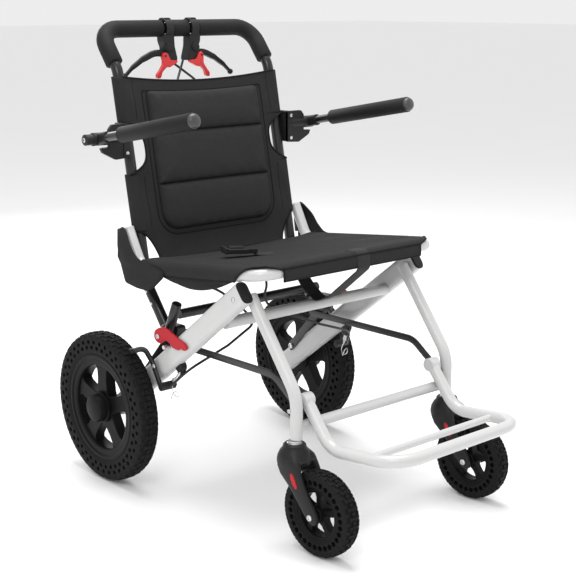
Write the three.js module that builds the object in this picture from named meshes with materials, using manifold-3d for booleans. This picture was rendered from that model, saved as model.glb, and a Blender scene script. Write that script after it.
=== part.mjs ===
// A folding transport wheelchair: two white oval beams, a seat frame, a reclined black back frame,
// folding front legs on casters, a fold-up footrest and solid-tyred rear wheels.
// Millimetres. +Z is up, the chair faces -Y, the user's right side is -X, and Z = 0 is the ground.
import * as THREE from 'three';
import { mergeVertices } from 'three/addons/utils/BufferGeometryUtils.js';
import Module from 'manifold-3d';

const wasm = await Module();
wasm.setup();

// ---- Driving dimensions -------------------------------------------------------------------
const CENTRE_Y = 9; // moves the chair so that the origin is the middle of its footprint
const GAP = 0.3; // clearance between pieces that touch
const TUBE_R = 11; // frame tubes, 22 mm outside diameter

const WHEEL_R = 150; // rear wheel, 300 mm over the tyre
const WHEEL_X = 262.5;
const WHEEL_Y = 267;
const TYRE_W = 41;
const RIM_R = 113;

const CASTER_R = 77;
const CASTER_X = 197.5;
const CASTER_Y = -215; // the swivel stem's axis
const CASTER_TRAIL = 64;
const CASTER_TURN = 4; // degrees that both casters stand turned to the right
const CASTER_TYRE_W = 33;
const CASTER_RIM_R = 48;

const BEAM_X = 218;
const BEAM_W = 26;
const BEAM_H = 43;
const BEAM_FRONT = [-107, 437.6]; // y, z of the beam's front end
const BEAM_REAR = [284, 137.3];

const LEG_X = 193;
const LEG_TOP = [-95, 427];
const LEG_FOOT_Z = 193;

const BACK_X = 190;
const BACK_R = 10.8;
const BACK_FOOT = [166, 322]; // lower end of the upright
const BACK_KNEE = [224, 395];
const BACK_BEND = [303, 800]; // where the push handle turns rearward
const HANDLE_TOP = [363, 876];

const LATCH = [127, 315]; // y, z of the latch shaft
const LATCH_PIN = [98, 301];
const LOWER_PIVOT = [240, 192]; // fold arm on the beam
const UPPER_PIVOT = [152, 288]; // fold arm, back frame and link

const ARM_X = 265.5;
const ARM_PIVOT = [262, 677];
const ARM_TILT = 10.4; // degrees, up towards the front
const ARM_LENGTH = 303;

const SEAT_X = 216;
const SEAT_FRONT = [-146, 473];
const SEAT_REAR = [205, 434];
const SEAT_TOP = [244, 503];

const FOOT_X = 162;
const FOOT_PIVOT = [-206, 256];
const FOOT_BEND = [-268, 180];
const FOOT_FRONT = [-424, 197];

const rad = THREE.MathUtils.degToRad;

// ---- Materials ----------------------------------------------------------------------------
const paint = (color, roughness, metalness) =>
  new THREE.MeshStandardMaterial({ color, roughness, metalness });
const WHITE = paint(0xf0f0ee, 0.3, 0.1);
const BLACK = paint(0x17181a, 0.4, 0.2);
const PLASTIC = paint(0x26272a, 0.55, 0);
const FOAM = paint(0x303236, 0.85, 0);
const FABRIC = paint(0x3a3b3e, 0.9, 0);
const RUBBER = paint(0x1d1e20, 0.8, 0);
const STEEL = paint(0xb9bcc0, 0.3, 0.9);
const RED = paint(0xd8313b, 0.45, 0);
const DARK_RED = paint(0xa3142a, 0.45, 0);

// ---- Geometry helpers ---------------------------------------------------------------------
// A path of straight stretches with round bends, which holds only the stations its shape needs.
class BentPath extends THREE.Curve {
  constructor(corners, bend, arcSteps = 5) {
    super();
    this.stations = [];
    const points = corners.map((c) => new THREE.Vector3(...c));
    const first = points[0];
    this.push(first, points[1].clone().sub(first).normalize());
    for (let i = 1; i < points.length - 1; i += 1) {
      this.turn(points[i - 1], points[i], points[i + 1], bend, arcSteps);
    }
    const last = points[points.length - 1];
    this.push(last, last.clone().sub(points[points.length - 2]).normalize());
  }

  push(place, along) {
    this.stations.push({ place, along });
  }

  turn(before, corner, after, bend, arcSteps) {
    const way_in = corner.clone().sub(before).normalize();
    const way_out = after.clone().sub(corner).normalize();
    const angle = way_in.angleTo(way_out);
    const room = 0.49 * Math.min(corner.distanceTo(before), corner.distanceTo(after));
    const set_back = Math.min(bend * Math.tan(angle / 2), room);
    const radius = set_back / Math.tan(angle / 2);
    const inward = way_out.clone().sub(way_in).normalize();
    const centre = corner.clone().addScaledVector(inward, radius / Math.cos(angle / 2));
    const start = corner.clone().addScaledVector(way_in, -set_back).sub(centre);
    const axis = way_in.clone().cross(way_out).normalize();
    for (let k = 0; k <= arcSteps; k += 1) {
      const turned = (angle * k) / arcSteps;
      this.push(
        start.clone().applyAxisAngle(axis, turned).add(centre),
        way_in.clone().applyAxisAngle(axis, turned),
      );
    }
  }

  getSpacedPoints() {
    return this.stations.map((s) => s.place);
  }

  getTangentAt(u) {
    return this.stations[Math.round(u * (this.stations.length - 1))].along.clone();
  }
}

const circle = (radius, sides) => {
  const turn = (k) => (2 * Math.PI * k) / sides;
  const corner = (k) => new THREE.Vector2(radius * Math.cos(turn(k)), radius * Math.sin(turn(k)));
  return new THREE.Shape(Array.from({ length: sides }, (_, k) => corner(k)));
};

// A closed outline with rounded corners.
const rounded = (corners, radius) => {
  const shape = new THREE.Shape();
  const points = corners.map((c) => new THREE.Vector2(...c));
  points.forEach((corner, i) => {
    const before = points[(i + points.length - 1) % points.length];
    const after = points[(i + 1) % points.length];
    const back = Math.min(radius, 0.45 * corner.distanceTo(before));
    const on = Math.min(radius, 0.45 * corner.distanceTo(after));
    const start = corner.clone().lerp(before, back / corner.distanceTo(before));
    const end = corner.clone().lerp(after, on / corner.distanceTo(after));
    if (i === 0) shape.moveTo(start.x, start.y);
    else shape.lineTo(start.x, start.y);
    shape.quadraticCurveTo(corner.x, corner.y, end.x, end.y);
  });
  shape.closePath();
  return shape;
};

const sweep = (shape, corners, bend, arcSteps) => {
  const path = new BentPath(corners, bend, arcSteps);
  const steps = path.stations.length - 1;
  return new THREE.ExtrudeGeometry(shape, { steps, extrudePath: path, curveSegments: 3 });
};
const tube = (corners, radius, bend = 40, sides = 12, arcSteps = 4) =>
  sweep(circle(radius, sides), corners, bend, arcSteps);

// Turns the axes x, y, z into y, z, x, so that an outline drawn in x, y lies in y, z.
const SIDEWAYS = new THREE.Matrix4().makeBasis(
  new THREE.Vector3(0, 1, 0),
  new THREE.Vector3(0, 0, 1),
  new THREE.Vector3(1, 0, 0),
);
// A plate whose outline is given as y, z, from x = near to x = far.
const plate = (shape, near, far) => {
  const options = { depth: far - near, bevelEnabled: false, curveSegments: 3 };
  const flat = new THREE.ExtrudeGeometry(shape, options);
  return flat.applyMatrix4(SIDEWAYS).translate(near, 0, 0);
};
const sidePlate = (corners, radius, side, inner, outer) => {
  const ends = [side * inner, side * outer].sort((a, b) => a - b);
  return plate(rounded(corners, radius), ...ends);
};
// A plate whose outline is given as x, z, from y = front to y = rear.
const frontPlate = (corners, radius, front, rear) => {
  const options = { depth: rear - front, bevelEnabled: false, curveSegments: 2 };
  const flat = new THREE.ExtrudeGeometry(rounded(corners, radius), options);
  return flat.rotateX(Math.PI / 2).translate(0, rear, 0);
};
const rod = (near, far, [y, z], radius, sides = 12) =>
  plate(circle(radius, sides), near, far).translate(0, y, z);
const sideRod = (side, inner, outer, place, radius, sides = 12) => {
  const ends = [side * inner, side * outer].sort((a, b) => a - b);
  return rod(...ends, place, radius, sides);
};
// A solid of revolution about the X axis; the profile is [radius, x] pairs. Its facets, which touch
// the stated radius, are turned so that one of them lies flat at the bottom.
const turned = (profile, segments) => {
  const half = Math.PI / segments;
  const points = profile.map(([radius, x]) => new THREE.Vector2(radius / Math.cos(half), x));
  return new THREE.LatheGeometry(points, segments).rotateY(half).rotateZ(-Math.PI / 2);
};

const toSolid = (geometry) => {
  const bare = geometry.index ? geometry.toNonIndexed() : geometry.clone();
  bare.deleteAttribute('normal');
  bare.deleteAttribute('uv');
  const merged = mergeVertices(bare, 1e-4);
  const vertProperties = new Float32Array(merged.attributes.position.array);
  const triVerts = new Uint32Array(merged.index.array);
  return new wasm.Manifold(new wasm.Mesh({ numProp: 3, vertProperties, triVerts }));
};
const toGeometry = (solid) => {
  const mesh = solid.getMesh();
  const geometry = new THREE.BufferGeometry();
  const places = new Float32Array(mesh.vertProperties);
  geometry.setAttribute('position', new THREE.BufferAttribute(places, 3));
  geometry.setIndex(new THREE.BufferAttribute(new Uint32Array(mesh.triVerts), 1));
  return geometry;
};
const join = (...pieces) => toGeometry(pieces.map(toSolid).reduce((a, b) => a.add(b)));
const cut = (piece, ...holes) =>
  toGeometry(holes.map(toSolid).reduce((a, b) => a.subtract(b), toSolid(piece)));

const chair = new THREE.Group();
chair.position.y = CENTRE_Y;
const add = (name, geometry, material, parent = chair) => {
  const mesh = new THREE.Mesh(geometry, material.clone());
  mesh.name = name;
  parent.add(mesh);
};
// The user's right is -X and the user's left is +X.
const SIDES = [['right', -1], ['left', 1]];
const at = (x, [y, z]) => [x, y, z];

// ---- Main frame ---------------------------------------------------------------------------
const beamRun = new THREE.Vector2(...BEAM_REAR).sub(new THREE.Vector2(...BEAM_FRONT));
const beamLength = beamRun.length();
const beamSlope = Math.atan2(beamRun.y, beamRun.x);
const ovalShape = (width, height) => {
  const w = width / 2;
  const h = height / 2;
  return rounded([[-w, -h], [w, -h], [w, h], [-w, h]], w);
};
// A stretch of oval section along the beam, from `start` to `end` millimetres behind its front end.
const beamStretch = (side, width, height, start, end) => {
  const options = { depth: end - start, bevelEnabled: false, curveSegments: 5 };
  const stretch = new THREE.ExtrudeGeometry(ovalShape(width, height), options);
  stretch.translate(0, 0, start).rotateX(-Math.PI / 2).rotateX(beamSlope);
  return stretch.translate(side * BEAM_X, ...BEAM_FRONT);
};

const CROSS = [-36, 367]; // y, z of the white cross tube
const innerFace = BEAM_X - BEAM_W / 2;
const outerFace = BEAM_X + BEAM_W / 2;

const buildBeams = () => {
  for (const [word, side] of SIDES) {
    add(`beam_${word}`, beamStretch(side, BEAM_W, BEAM_H, 0, beamLength), WHITE);
    add(`beam_plug_${word}`, beamStretch(side, BEAM_W - 1, BEAM_H - 1, -4, -GAP), PLASTIC);
    add(`latch_pin_${word}`, sideRod(side, outerFace + GAP, outerFace + 14, LATCH_PIN, 4, 12), STEEL);
  }
  add('cross_tube', rod(-innerFace + GAP, innerFace - GAP, CROSS, TUBE_R), WHITE);
};

// ---- Seat ---------------------------------------------------------------------------------
const SEAT_THICK = 6;
const seatLine = (y) => {
  const share = (y - SEAT_FRONT[0]) / (SEAT_REAR[0] - SEAT_FRONT[0]);
  return SEAT_FRONT[1] + share * (SEAT_REAR[1] - SEAT_FRONT[1]);
};
const buildSeat = () => {
  const side = (s) => [at(s * SEAT_X, SEAT_TOP), at(s * SEAT_X, SEAT_REAR), at(s * SEAT_X, SEAT_FRONT)];
  add('seat_frame', tube([...side(-1), ...side(1).reverse()], TUBE_R, 30), WHITE);

  // The seat fabric lies over the rails and hangs down in front of the front tube.
  const half = SEAT_X + 5;
  const over = TUBE_R + 0.8;
  const top = (y, lift) => [y, seatLine(y) + over + lift];
  const front = SEAT_FRONT[0] - TUBE_R;
  const rear = SEAT_REAR[0] - 23;
  const flapFoot = SEAT_FRONT[1] - 16;
  const sheet = [
    top(rear, SEAT_THICK), top(front + 5, SEAT_THICK), [front - 5, SEAT_FRONT[1] + 10],
    [front - 5, flapFoot], [front - 1, flapFoot], [front - 1, SEAT_FRONT[1] + 7],
    top(front + 9, 0), top(rear, 0),
  ];
  add('seat_fabric', plate(rounded(sheet, 2), -half, half), FABRIC);

  for (const [word, s] of SIDES) {
    const guard = [[250, 506], [236, 508], [196, 440], [152, 414], [164, 396], [246, 392], [258, 436]];
    add(`side_guard_${word}`, sidePlate(guard, 9, s, SEAT_X + TUBE_R + 6, SEAT_X + TUBE_R + 11), FABRIC);
  }

  // A webbing loop hangs under the seat, where a hand pulls it to start the fold.
  const strapX = 26;
  const hung = (y, drop) => [strapX, y, seatLine(y) - drop];
  const webbing = rounded([[-19, -1], [19, -1], [19, 1], [-19, 1]], 0.9);
  const loopPath = [hung(-112, 24), hung(-70, 84), hung(-44, 84), hung(-4, 26)];
  add('pull_loop', sweep(webbing, loopPath, 12, 3), FABRIC);

  const buckle = rounded([[-17, -5], [17, -5], [17, 5], [-17, 5]], 4);
  const clip = plate(buckle, -38, 38).rotateX(-0.08).rotateZ(-0.35);
  add('belt_buckle', clip.translate(-88, 56, seatLine(56) + TUBE_R + SEAT_THICK + 11), PLASTIC);
};

// ---- Back frame ---------------------------------------------------------------------------
const recline = Math.atan2(BACK_BEND[0] - BACK_KNEE[0], BACK_BEND[1] - BACK_KNEE[1]);
const backLine = (z) => BACK_KNEE[0] + (z - BACK_KNEE[1]) * Math.tan(recline);
const FOAM_R = 17;
const CLAMP_X = 32;
const CLAMPS = [['right', -CLAMP_X], ['left', CLAMP_X]]; // the brake levers' clamps on the push handle
const CLAMP_W = 19;

const buildBack = () => {
  const side = (s) => [BACK_FOOT, BACK_KNEE, BACK_BEND, HANDLE_TOP].map((p) => at(s * BACK_X, p));
  add('back_frame', tube([...side(-1), ...side(1).reverse()], BACK_R, 48), BLACK);

  // Foam sleeves: one round each corner of the handle, and a short one between the clamps.
  const bore = (corners) => tube(corners, BACK_R + 2 * GAP, 48);
  const run = new THREE.Vector2(...HANDLE_TOP).sub(new THREE.Vector2(...BACK_BEND)).normalize();
  const sleeveEnd = [BACK_BEND[0] + run.x * 14, BACK_BEND[1] + run.y * 14];
  for (const [word, s] of SIDES) {
    const inner = CLAMP_X + CLAMP_W / 2 + 1;
    const sleeve = [at(s * BACK_X, sleeveEnd), at(s * BACK_X, HANDLE_TOP), at(s * inner, HANDLE_TOP)];
    const longer = [at(s * BACK_X, BACK_BEND), at(s * BACK_X, HANDLE_TOP), at(s * (inner - 9), HANDLE_TOP)];
    add(`handle_grip_${word}`, cut(tube(sleeve, FOAM_R, 48), bore(longer)), FOAM);
  }
  const gap = CLAMP_X - CLAMP_W / 2 - 1;
  const middleBore = rod(-gap - 5, gap + 5, HANDLE_TOP, BACK_R + 2 * GAP);
  add('handle_grip_middle', cut(rod(-gap, gap, HANDLE_TOP, FOAM_R), middleBore), FOAM);

  // The seat-back fabric, hung between the uprights.
  const half = BACK_X - BACK_R - 1;
  const lean = (z, off) => [backLine(z) + off, z];
  const sheet = [
    lean(783, -6), lean(783, 3), lean(600, 12), lean(440, 4), [190, 440],
    [188, 447], [216, 450], lean(462, -9), lean(600, -3),
  ];
  add('back_fabric', plate(rounded(sheet, 2), -half, half), FABRIC);

  for (const [word, s] of SIDES) {
    const knuckle = [[170, 311], [156, 324], [138, 330], [108, 330], [116, 300], [140, 280], [160, 280]];
    const body = sidePlate(knuckle, 6, s, BACK_X - 7.8, BACK_X + BACK_R);
    const shaftHole = sideRod(s, 170, 210, LATCH, 5.5);
    const tubeSeat = sideRod(s, 170, 210, [170, 327], 14.5);
    add(`back_knuckle_${word}`, cut(body, shaftHole, tubeSeat), BLACK);
  }
  add('back_cross_tube', rod(-BACK_X + BACK_R + 1, BACK_X - BACK_R - 1, [136, 347], 9.5), BLACK);
};

// ---- Armrests -----------------------------------------------------------------------------
const buildArmrests = () => {
  const ahead = [-Math.cos(rad(ARM_TILT)), Math.sin(rad(ARM_TILT))];
  const along = (d) => [ARM_PIVOT[0] + d * ahead[0], ARM_PIVOT[1] + d * ahead[1]];
  for (const [word, s] of SIDES) {
    // The bracket is a gusset that faces forward, with a barrel for the armrest's pin.
    const inner = BACK_X + BACK_R + 1;
    const outline = [
      [inner, 703], [240, 703], [248, 694], [248, 661], [266, 659], [262, 650], [232, 636], [inner, 638],
    ];
    const gusset = frontPlate(outline.map(([x, z]) => [s * x, z]), 4, 250, 278);
    const barrel = sideRod(s, inner + 5, ARM_X - 16, ARM_PIVOT, 13);
    add(`armrest_bracket_${word}`, join(gusset, barrel), PLASTIC);

    const knuckle = sideRod(s, ARM_X - 16 + GAP, ARM_X + 32, ARM_PIVOT, 13);
    const bar = tube([at(s * ARM_X, along(4)), at(s * ARM_X, along(ARM_LENGTH - 12))], 8.5, 1, 12);
    add(`armrest_tube_${word}`, join(knuckle, bar), BLACK);

    const bore = tube([at(s * ARM_X, along(60)), at(s * ARM_X, along(ARM_LENGTH - 11))], 8.8, 1, 12);
    const foam = tube([at(s * ARM_X, along(78)), at(s * ARM_X, along(ARM_LENGTH))], 15, 1, 14);
    add(`armrest_pad_${word}`, cut(foam, bore), FOAM);
  }
};

// ---- Attendant's brake levers -------------------------------------------------------------
const buildBrakeLevers = () => {
  // `d` is measured down from the handle's centre and `back` towards the rear.
  const down = (d, back = 0) => [HANDLE_TOP[0] + back + 0.06 * d, HANDLE_TOP[1] - d];
  for (const [word, x] of CLAMPS) {
    const side = Math.sign(x);
    const outline = [down(-21, -16), down(-21, 16), down(18, 18), down(56, 13), down(56, -12), down(18, -18)];
    const body = plate(rounded(outline, 7), x - CLAMP_W / 2, x + CLAMP_W / 2);
    const barHole = rod(x - 20, x + 20, HANDLE_TOP, BACK_R + 2 * GAP, 12);
    add(`brake_clamp_${word}`, cut(body, barHole), PLASTIC);

    const start = x + side * (CLAMP_W / 2 + 4);
    const elbow = at(start + side * 40, down(50, -3));
    const tip = at(start + side * 76, down(88, -4));
    const lever = tube([at(start, down(44, -2)), elbow, tip], 4.6, 46, 10, 5);
    add(`brake_lever_${word}`, lever, PLASTIC);

    const [hingeY, hingeZ] = down(64, -9);
    const tab = [[-5, 5], [-12, -8], [4, -24], [14, -42], [24, -38], [16, -20], [7, 2]];
    const lock = frontPlate(tab.map(([px, pz]) => [side * px, pz]), 3, hingeY - 8, hingeY);
    add(`brake_lock_${word}`, lock.translate(x + 4 * side, 0, hingeZ), RED);
  }
};

// ---- Fold arms and latch ------------------------------------------------------------------
const capsule = ([y1, z1], [y2, z2], radius) => {
  const across = new THREE.Vector2(z1 - z2, y2 - y1).normalize().multiplyScalar(radius);
  const corners = [
    [y1 + across.x, z1 + across.y],
    [y1 - across.x, z1 - across.y],
    [y2 - across.x, z2 - across.y],
    [y2 + across.x, z2 + across.y],
  ];
  const ahead = new THREE.Vector2(y2 - y1, z2 - z1).normalize().multiplyScalar(radius);
  corners[0] = [corners[0][0] - ahead.x, corners[0][1] - ahead.y];
  corners[1] = [corners[1][0] - ahead.x, corners[1][1] - ahead.y];
  corners[2] = [corners[2][0] + ahead.x, corners[2][1] + ahead.y];
  corners[3] = [corners[3][0] + ahead.x, corners[3][1] + ahead.y];
  return rounded(corners, radius);
};

const buildFold = () => {
  for (const [word, s] of SIDES) {
    const ends = [s * (innerFace - 3.6), s * (innerFace - 0.5)].sort((a, b) => a - b);
    add(`fold_arm_${word}`, plate(capsule(LOWER_PIVOT, UPPER_PIVOT, 9), ...ends), BLACK);

    const hook = [
      [139, 317], [131, 334], [106, 341], [88, 335], [43, 320], [37, 312],
      [44, 305], [62, 302], [84, 302], [90, 308], [99, 312], [113, 310], [128, 303],
    ];
    add(`latch_hook_${word}`, sidePlate(hook, 4, s, outerFace + 0.8, outerFace + 4.9), DARK_RED);
  }
  const reach = outerFace + 0.8 - GAP;
  const shaft = rod(-reach, reach, LATCH, 3);
  const pedal = tube([[-212, LATCH[0], LATCH[1]], [-212, 97, 381]], 9.8, 1, 12);
  add('latch_shaft', join(shaft, pedal), BLACK);
};

// ---- Front legs, casters, footrest and links ----------------------------------------------
const buildLegs = () => {
  const knee = [CASTER_Y, 270];
  for (const [word, s] of SIDES) {
    const corners = [at(s * LEG_X, LEG_TOP), at(s * LEG_X, knee), at(s * LEG_X, [CASTER_Y, LEG_FOOT_Z])];
    add(`front_leg_${word}`, tube(corners, TUBE_R, 70), WHITE);
  }
  const reach = LEG_X - TUBE_R - GAP;
  add('leg_cross_tube', rod(-reach, reach, [CASTER_Y + 3, 213], 9.5), WHITE);

  const rail = (s) => [at(s * FOOT_X, FOOT_PIVOT), at(s * FOOT_X, FOOT_BEND), at(s * FOOT_X, FOOT_FRONT)];
  const loop = tube([...rail(-1), ...rail(1).reverse()], TUBE_R, 52);
  const share = 0.57;
  const barY = FOOT_BEND[0] + share * (FOOT_FRONT[0] - FOOT_BEND[0]);
  const barZ = FOOT_BEND[1] + share * (FOOT_FRONT[1] - FOOT_BEND[1]);
  add('footrest', join(loop, rod(-FOOT_X, FOOT_X, [barY, barZ], 6.5)), WHITE);

  const ankle = [-213, 237];
  const bendPoint = [-140, 289];
  for (const [word, s] of SIDES) {
    const rearEnd = [UPPER_PIVOT[0], UPPER_PIVOT[1] - 1];
    const path = [rearEnd, bendPoint, ankle].map((p) => at(s * 179, p));
    const bar = rounded([[-2, -7], [2, -7], [2, 7], [-2, 7]], 1);
    add(`fold_link_${word}`, sweep(bar, path, 30, 4), BLACK);
  }
};

const spokedRim = (side, half, radius, hubRadius, bore, spokeWidth, wall, segments) => {
  const spokes = 5;
  const ring = turned(
    [[radius - wall, -half], [radius, -half], [radius, half], [radius - wall, half], [radius - wall, -half]],
    segments,
  );
  const hub = turned([[0, -half - 3], [hubRadius, -half - 3], [hubRadius, half + 3], [0, half + 3]], 14);
  const parts = Array.from({ length: spokes }, (_, k) => {
    const taper = [
      [-spokeWidth, hubRadius - 8],
      [spokeWidth, hubRadius - 8],
      [0.55 * spokeWidth, radius - wall + 2],
      [-0.55 * spokeWidth, radius - wall + 2],
    ];
    return plate(rounded(taper, 1), -0.62 * half, 0.62 * half).rotateX((2 * Math.PI * k) / spokes);
  });
  const inward = -side;
  return cut(join(ring, hub, ...parts), sideRod(inward, -half + 4, half + 10, [0, 0], bore));
};
const WHEEL_STEPS = 36;
const CASTER_STEPS = 30;
// The tyre's section is a rounded tread over a flat bead.
const tyreSolid = (radius, rimRadius, width, segments) => {
  const w = width / 2;
  const crown = radius - 0.3 * w;
  const profile = [
    [rimRadius, -0.74 * w], [rimRadius + 0.45 * w, -w], [crown - 0.3 * w, -w], [radius, -0.45 * w],
    [radius, 0.45 * w], [crown - 0.3 * w, w], [rimRadius + 0.45 * w, w], [rimRadius, 0.74 * w],
    [rimRadius, -0.74 * w],
  ];
  return turned(profile, segments);
};

const buildCasters = () => {
  for (const [word, s] of SIDES) {
    const caster = new THREE.Group();
    caster.position.set(s * CASTER_X, CASTER_Y, 0);
    caster.rotation.z = rad(CASTER_TURN);
    chair.add(caster);

    const headTop = LEG_FOOT_Z - 1;
    const crownZ = 2 * CASTER_R + 5;
    const rise = headTop - crownZ;
    const head = turned([[0, 0], [21, 0], [26, 12], [25, 24], [20, rise], [0, rise]], 14);
    head.rotateY(-Math.PI / 2).translate(0, 0, crownZ - 3);
    const blade = [
      [16, 178], [-22, 166], [-36, 140], [-CASTER_TRAIL - 12, 84], [-CASTER_TRAIL - 6, 62],
      [-CASTER_TRAIL + 6, 62], [-CASTER_TRAIL + 14, 80], [-22, 122], [18, 150],
    ];
    const legs = [-1, 1].map((k) => sidePlate(blade, 8, k, 19.5, 27));
    const bridge = plate(rounded([[20, 158], [20, 176], [-28, 176], [-30, 160], [-8, 157]], 3), -26, 26);
    const bolt = rod(-30, 30, [-CASTER_TRAIL, CASTER_R], 5, 6);
    add(`caster_fork_${word}`, join(head, ...legs, bridge, bolt), BLACK, caster);

    const wheel = new THREE.Group();
    wheel.position.set(0, -CASTER_TRAIL, CASTER_R);
    caster.add(wheel);
    const rim = spokedRim(s, 12, CASTER_RIM_R - GAP, 14, 5.5, 8, 6, CASTER_STEPS);
    add(`caster_rim_${word}`, cut(rim, rod(-30, 30, [0, 0], 5.5)), PLASTIC, wheel);
    add(`caster_tyre_${word}`, tyreSolid(CASTER_R, CASTER_RIM_R, CASTER_TYRE_W, CASTER_STEPS), RUBBER, wheel);
  }
};

const buildRearWheels = () => {
  for (const [word, s] of SIDES) {
    const wheel = new THREE.Group();
    wheel.position.set(s * WHEEL_X, WHEEL_Y, WHEEL_R);
    chair.add(wheel);
    const rim = spokedRim(s, 18, RIM_R - GAP, 27, 6.5, 20, 9, WHEEL_STEPS);
    const cap = sideRod(s, 18, 38, [0, 0], 25, 14);
    add(`rear_rim_${word}`, join(rim, cap), PLASTIC, wheel);
    add(`rear_tyre_${word}`, tyreSolid(WHEEL_R, RIM_R, TYRE_W, WHEEL_STEPS), RUBBER, wheel);
    add(`rear_axle_${word}`, sideRod(s, outerFace + GAP, WHEEL_X + 10, [WHEEL_Y, WHEEL_R], 6), STEEL);
  }
};

// ---- Rear brakes and their cables ---------------------------------------------------------
const UNDER_SEAT = { // each cable's own way under the seat
  right: [[-150, 238, 410], [-140, 190, 402], [-100, 126, 388], [-60, 118, 359], [-42, 90, 330]],
  left: [[60, 240, 410], [24, 190, 402], [0, 80, 400], [0, 100, 352], [24, 78, 326]],
};
const buildBrakes = () => {
  const mid = outerFace + 9.6;
  for (const [word, s] of SIDES) {
    const corners = [[mid, 112, 214], [mid, 140, 262], [mid, 166, 285], [mid + 20, 179.5, 279.3]];
    add(`brake_arm_${word}`, tube(corners.map(([x, y, z]) => [s * x, y, z]), 4.4, 12, 8, 3), BLACK);

    // The cable crosses behind the seat back, passes under the seat to the middle, and runs out
    // from there to the brake arm's foot.
    const back = s > 0 ? 0 : 7; // one cable passes behind the other where they cross
    const route = [
      [s * 15, HANDLE_TOP[0] + 4 + back, HANDLE_TOP[1] - 64], [-s * 30, 330 + back, 768],
      [-s * 40, 296 + back, 650], [s * 70, 268 + back, 520], ...UNDER_SEAT[word],
      [s * 52, 66, 319], [s * 120, 61, 290], [s * (BEAM_X - 6), 66, 258], [s * (BEAM_X + 13), 98, 222],
    ];
    add(`brake_cable_${word}`, tube(route, 2.5, 30, 6, 2), RUBBER);
  }
};

buildBeams();
buildSeat();
buildBack();
buildArmrests();
buildBrakeLevers();
buildFold();
buildLegs();
buildCasters();
buildRearWheels();
buildBrakes();

export default chair;
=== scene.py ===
import math

import bmesh
import bpy
from mathutils import Matrix, Vector


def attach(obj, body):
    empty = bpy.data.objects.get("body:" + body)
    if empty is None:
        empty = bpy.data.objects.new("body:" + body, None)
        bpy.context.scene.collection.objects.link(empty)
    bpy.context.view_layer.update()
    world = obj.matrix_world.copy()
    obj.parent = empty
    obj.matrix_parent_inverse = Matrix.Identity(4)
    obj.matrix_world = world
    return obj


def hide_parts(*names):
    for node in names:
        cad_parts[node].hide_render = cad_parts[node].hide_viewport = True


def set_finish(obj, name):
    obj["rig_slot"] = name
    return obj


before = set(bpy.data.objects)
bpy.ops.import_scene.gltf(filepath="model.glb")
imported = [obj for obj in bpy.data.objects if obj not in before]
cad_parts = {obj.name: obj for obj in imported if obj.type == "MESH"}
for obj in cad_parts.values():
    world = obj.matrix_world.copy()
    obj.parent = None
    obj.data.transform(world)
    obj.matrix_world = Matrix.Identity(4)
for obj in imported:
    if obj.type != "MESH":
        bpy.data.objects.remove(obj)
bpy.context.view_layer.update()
SCENE = bpy.context.scene
CENTRE_Y = 9  # the model's shift along Y in millimetres, as in the CAD source
SIDES = (("right", -1), ("left", 1))


# ---- Camera and light ---------------------------------------------------------------------
CAMERA_PLACE = (-1.556, -1.7175, 0.9316)
CAMERA_YAW, CAMERA_PITCH = math.radians(-41.63), math.radians(13.02)
CAMERA_LENS, CAMERA_SENSOR = 77.83, 36
WORLD_STRENGTH = 0.85
LIGHTS = (  # name, place, aim, size, power
    ("key", (-2.2, -1.6, 2.6), (0, 0, 0.4), 1.2, 26),
    ("fill", (2.6, -1.8, 1.6), (0, 0, 0.4), 2.0, 5),
    ("top", (0.1, 0.3, 2.8), (0, 0, 0.4), 1.6, 60),
    ("rim", (0.6, 2.8, 1.6), (0, 0, 0.5), 1.6, 20),
)


def place_camera():
    yaw, pitch = CAMERA_YAW, CAMERA_PITCH
    right = Vector((math.cos(yaw), math.sin(yaw), 0))
    back = Vector((math.sin(yaw) * math.cos(pitch), -math.cos(yaw) * math.cos(pitch), math.sin(pitch)))
    up = back.cross(right)
    camera = bpy.data.objects.new("camera", bpy.data.cameras.new("camera"))
    camera.matrix_world = Matrix((right, up, back)).transposed().to_4x4()
    camera.location = CAMERA_PLACE
    camera.data.lens = CAMERA_LENS
    camera.data.sensor_width = CAMERA_SENSOR
    SCENE.collection.objects.link(camera)
    SCENE.camera = camera


def area_light(name, place, aim, size, power):
    light = bpy.data.lights.new(name, "AREA")
    light.energy = power
    light.size = size
    item = bpy.data.objects.new(name, light)
    item.location = place
    item.rotation_euler = (Vector(aim) - Vector(place)).to_track_quat("-Z", "Y").to_euler()
    SCENE.collection.objects.link(item)


def light_studio():
    world = SCENE.world or bpy.data.worlds.new("world")
    SCENE.world = world
    world.use_nodes = True
    world.node_tree.nodes["Background"].inputs["Color"].default_value = (1, 1, 1, 1)
    world.node_tree.nodes["Background"].inputs["Strength"].default_value = WORLD_STRENGTH
    SCENE.view_settings.view_transform = "Standard"
    for light in LIGHTS:
        area_light(*light)


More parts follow.
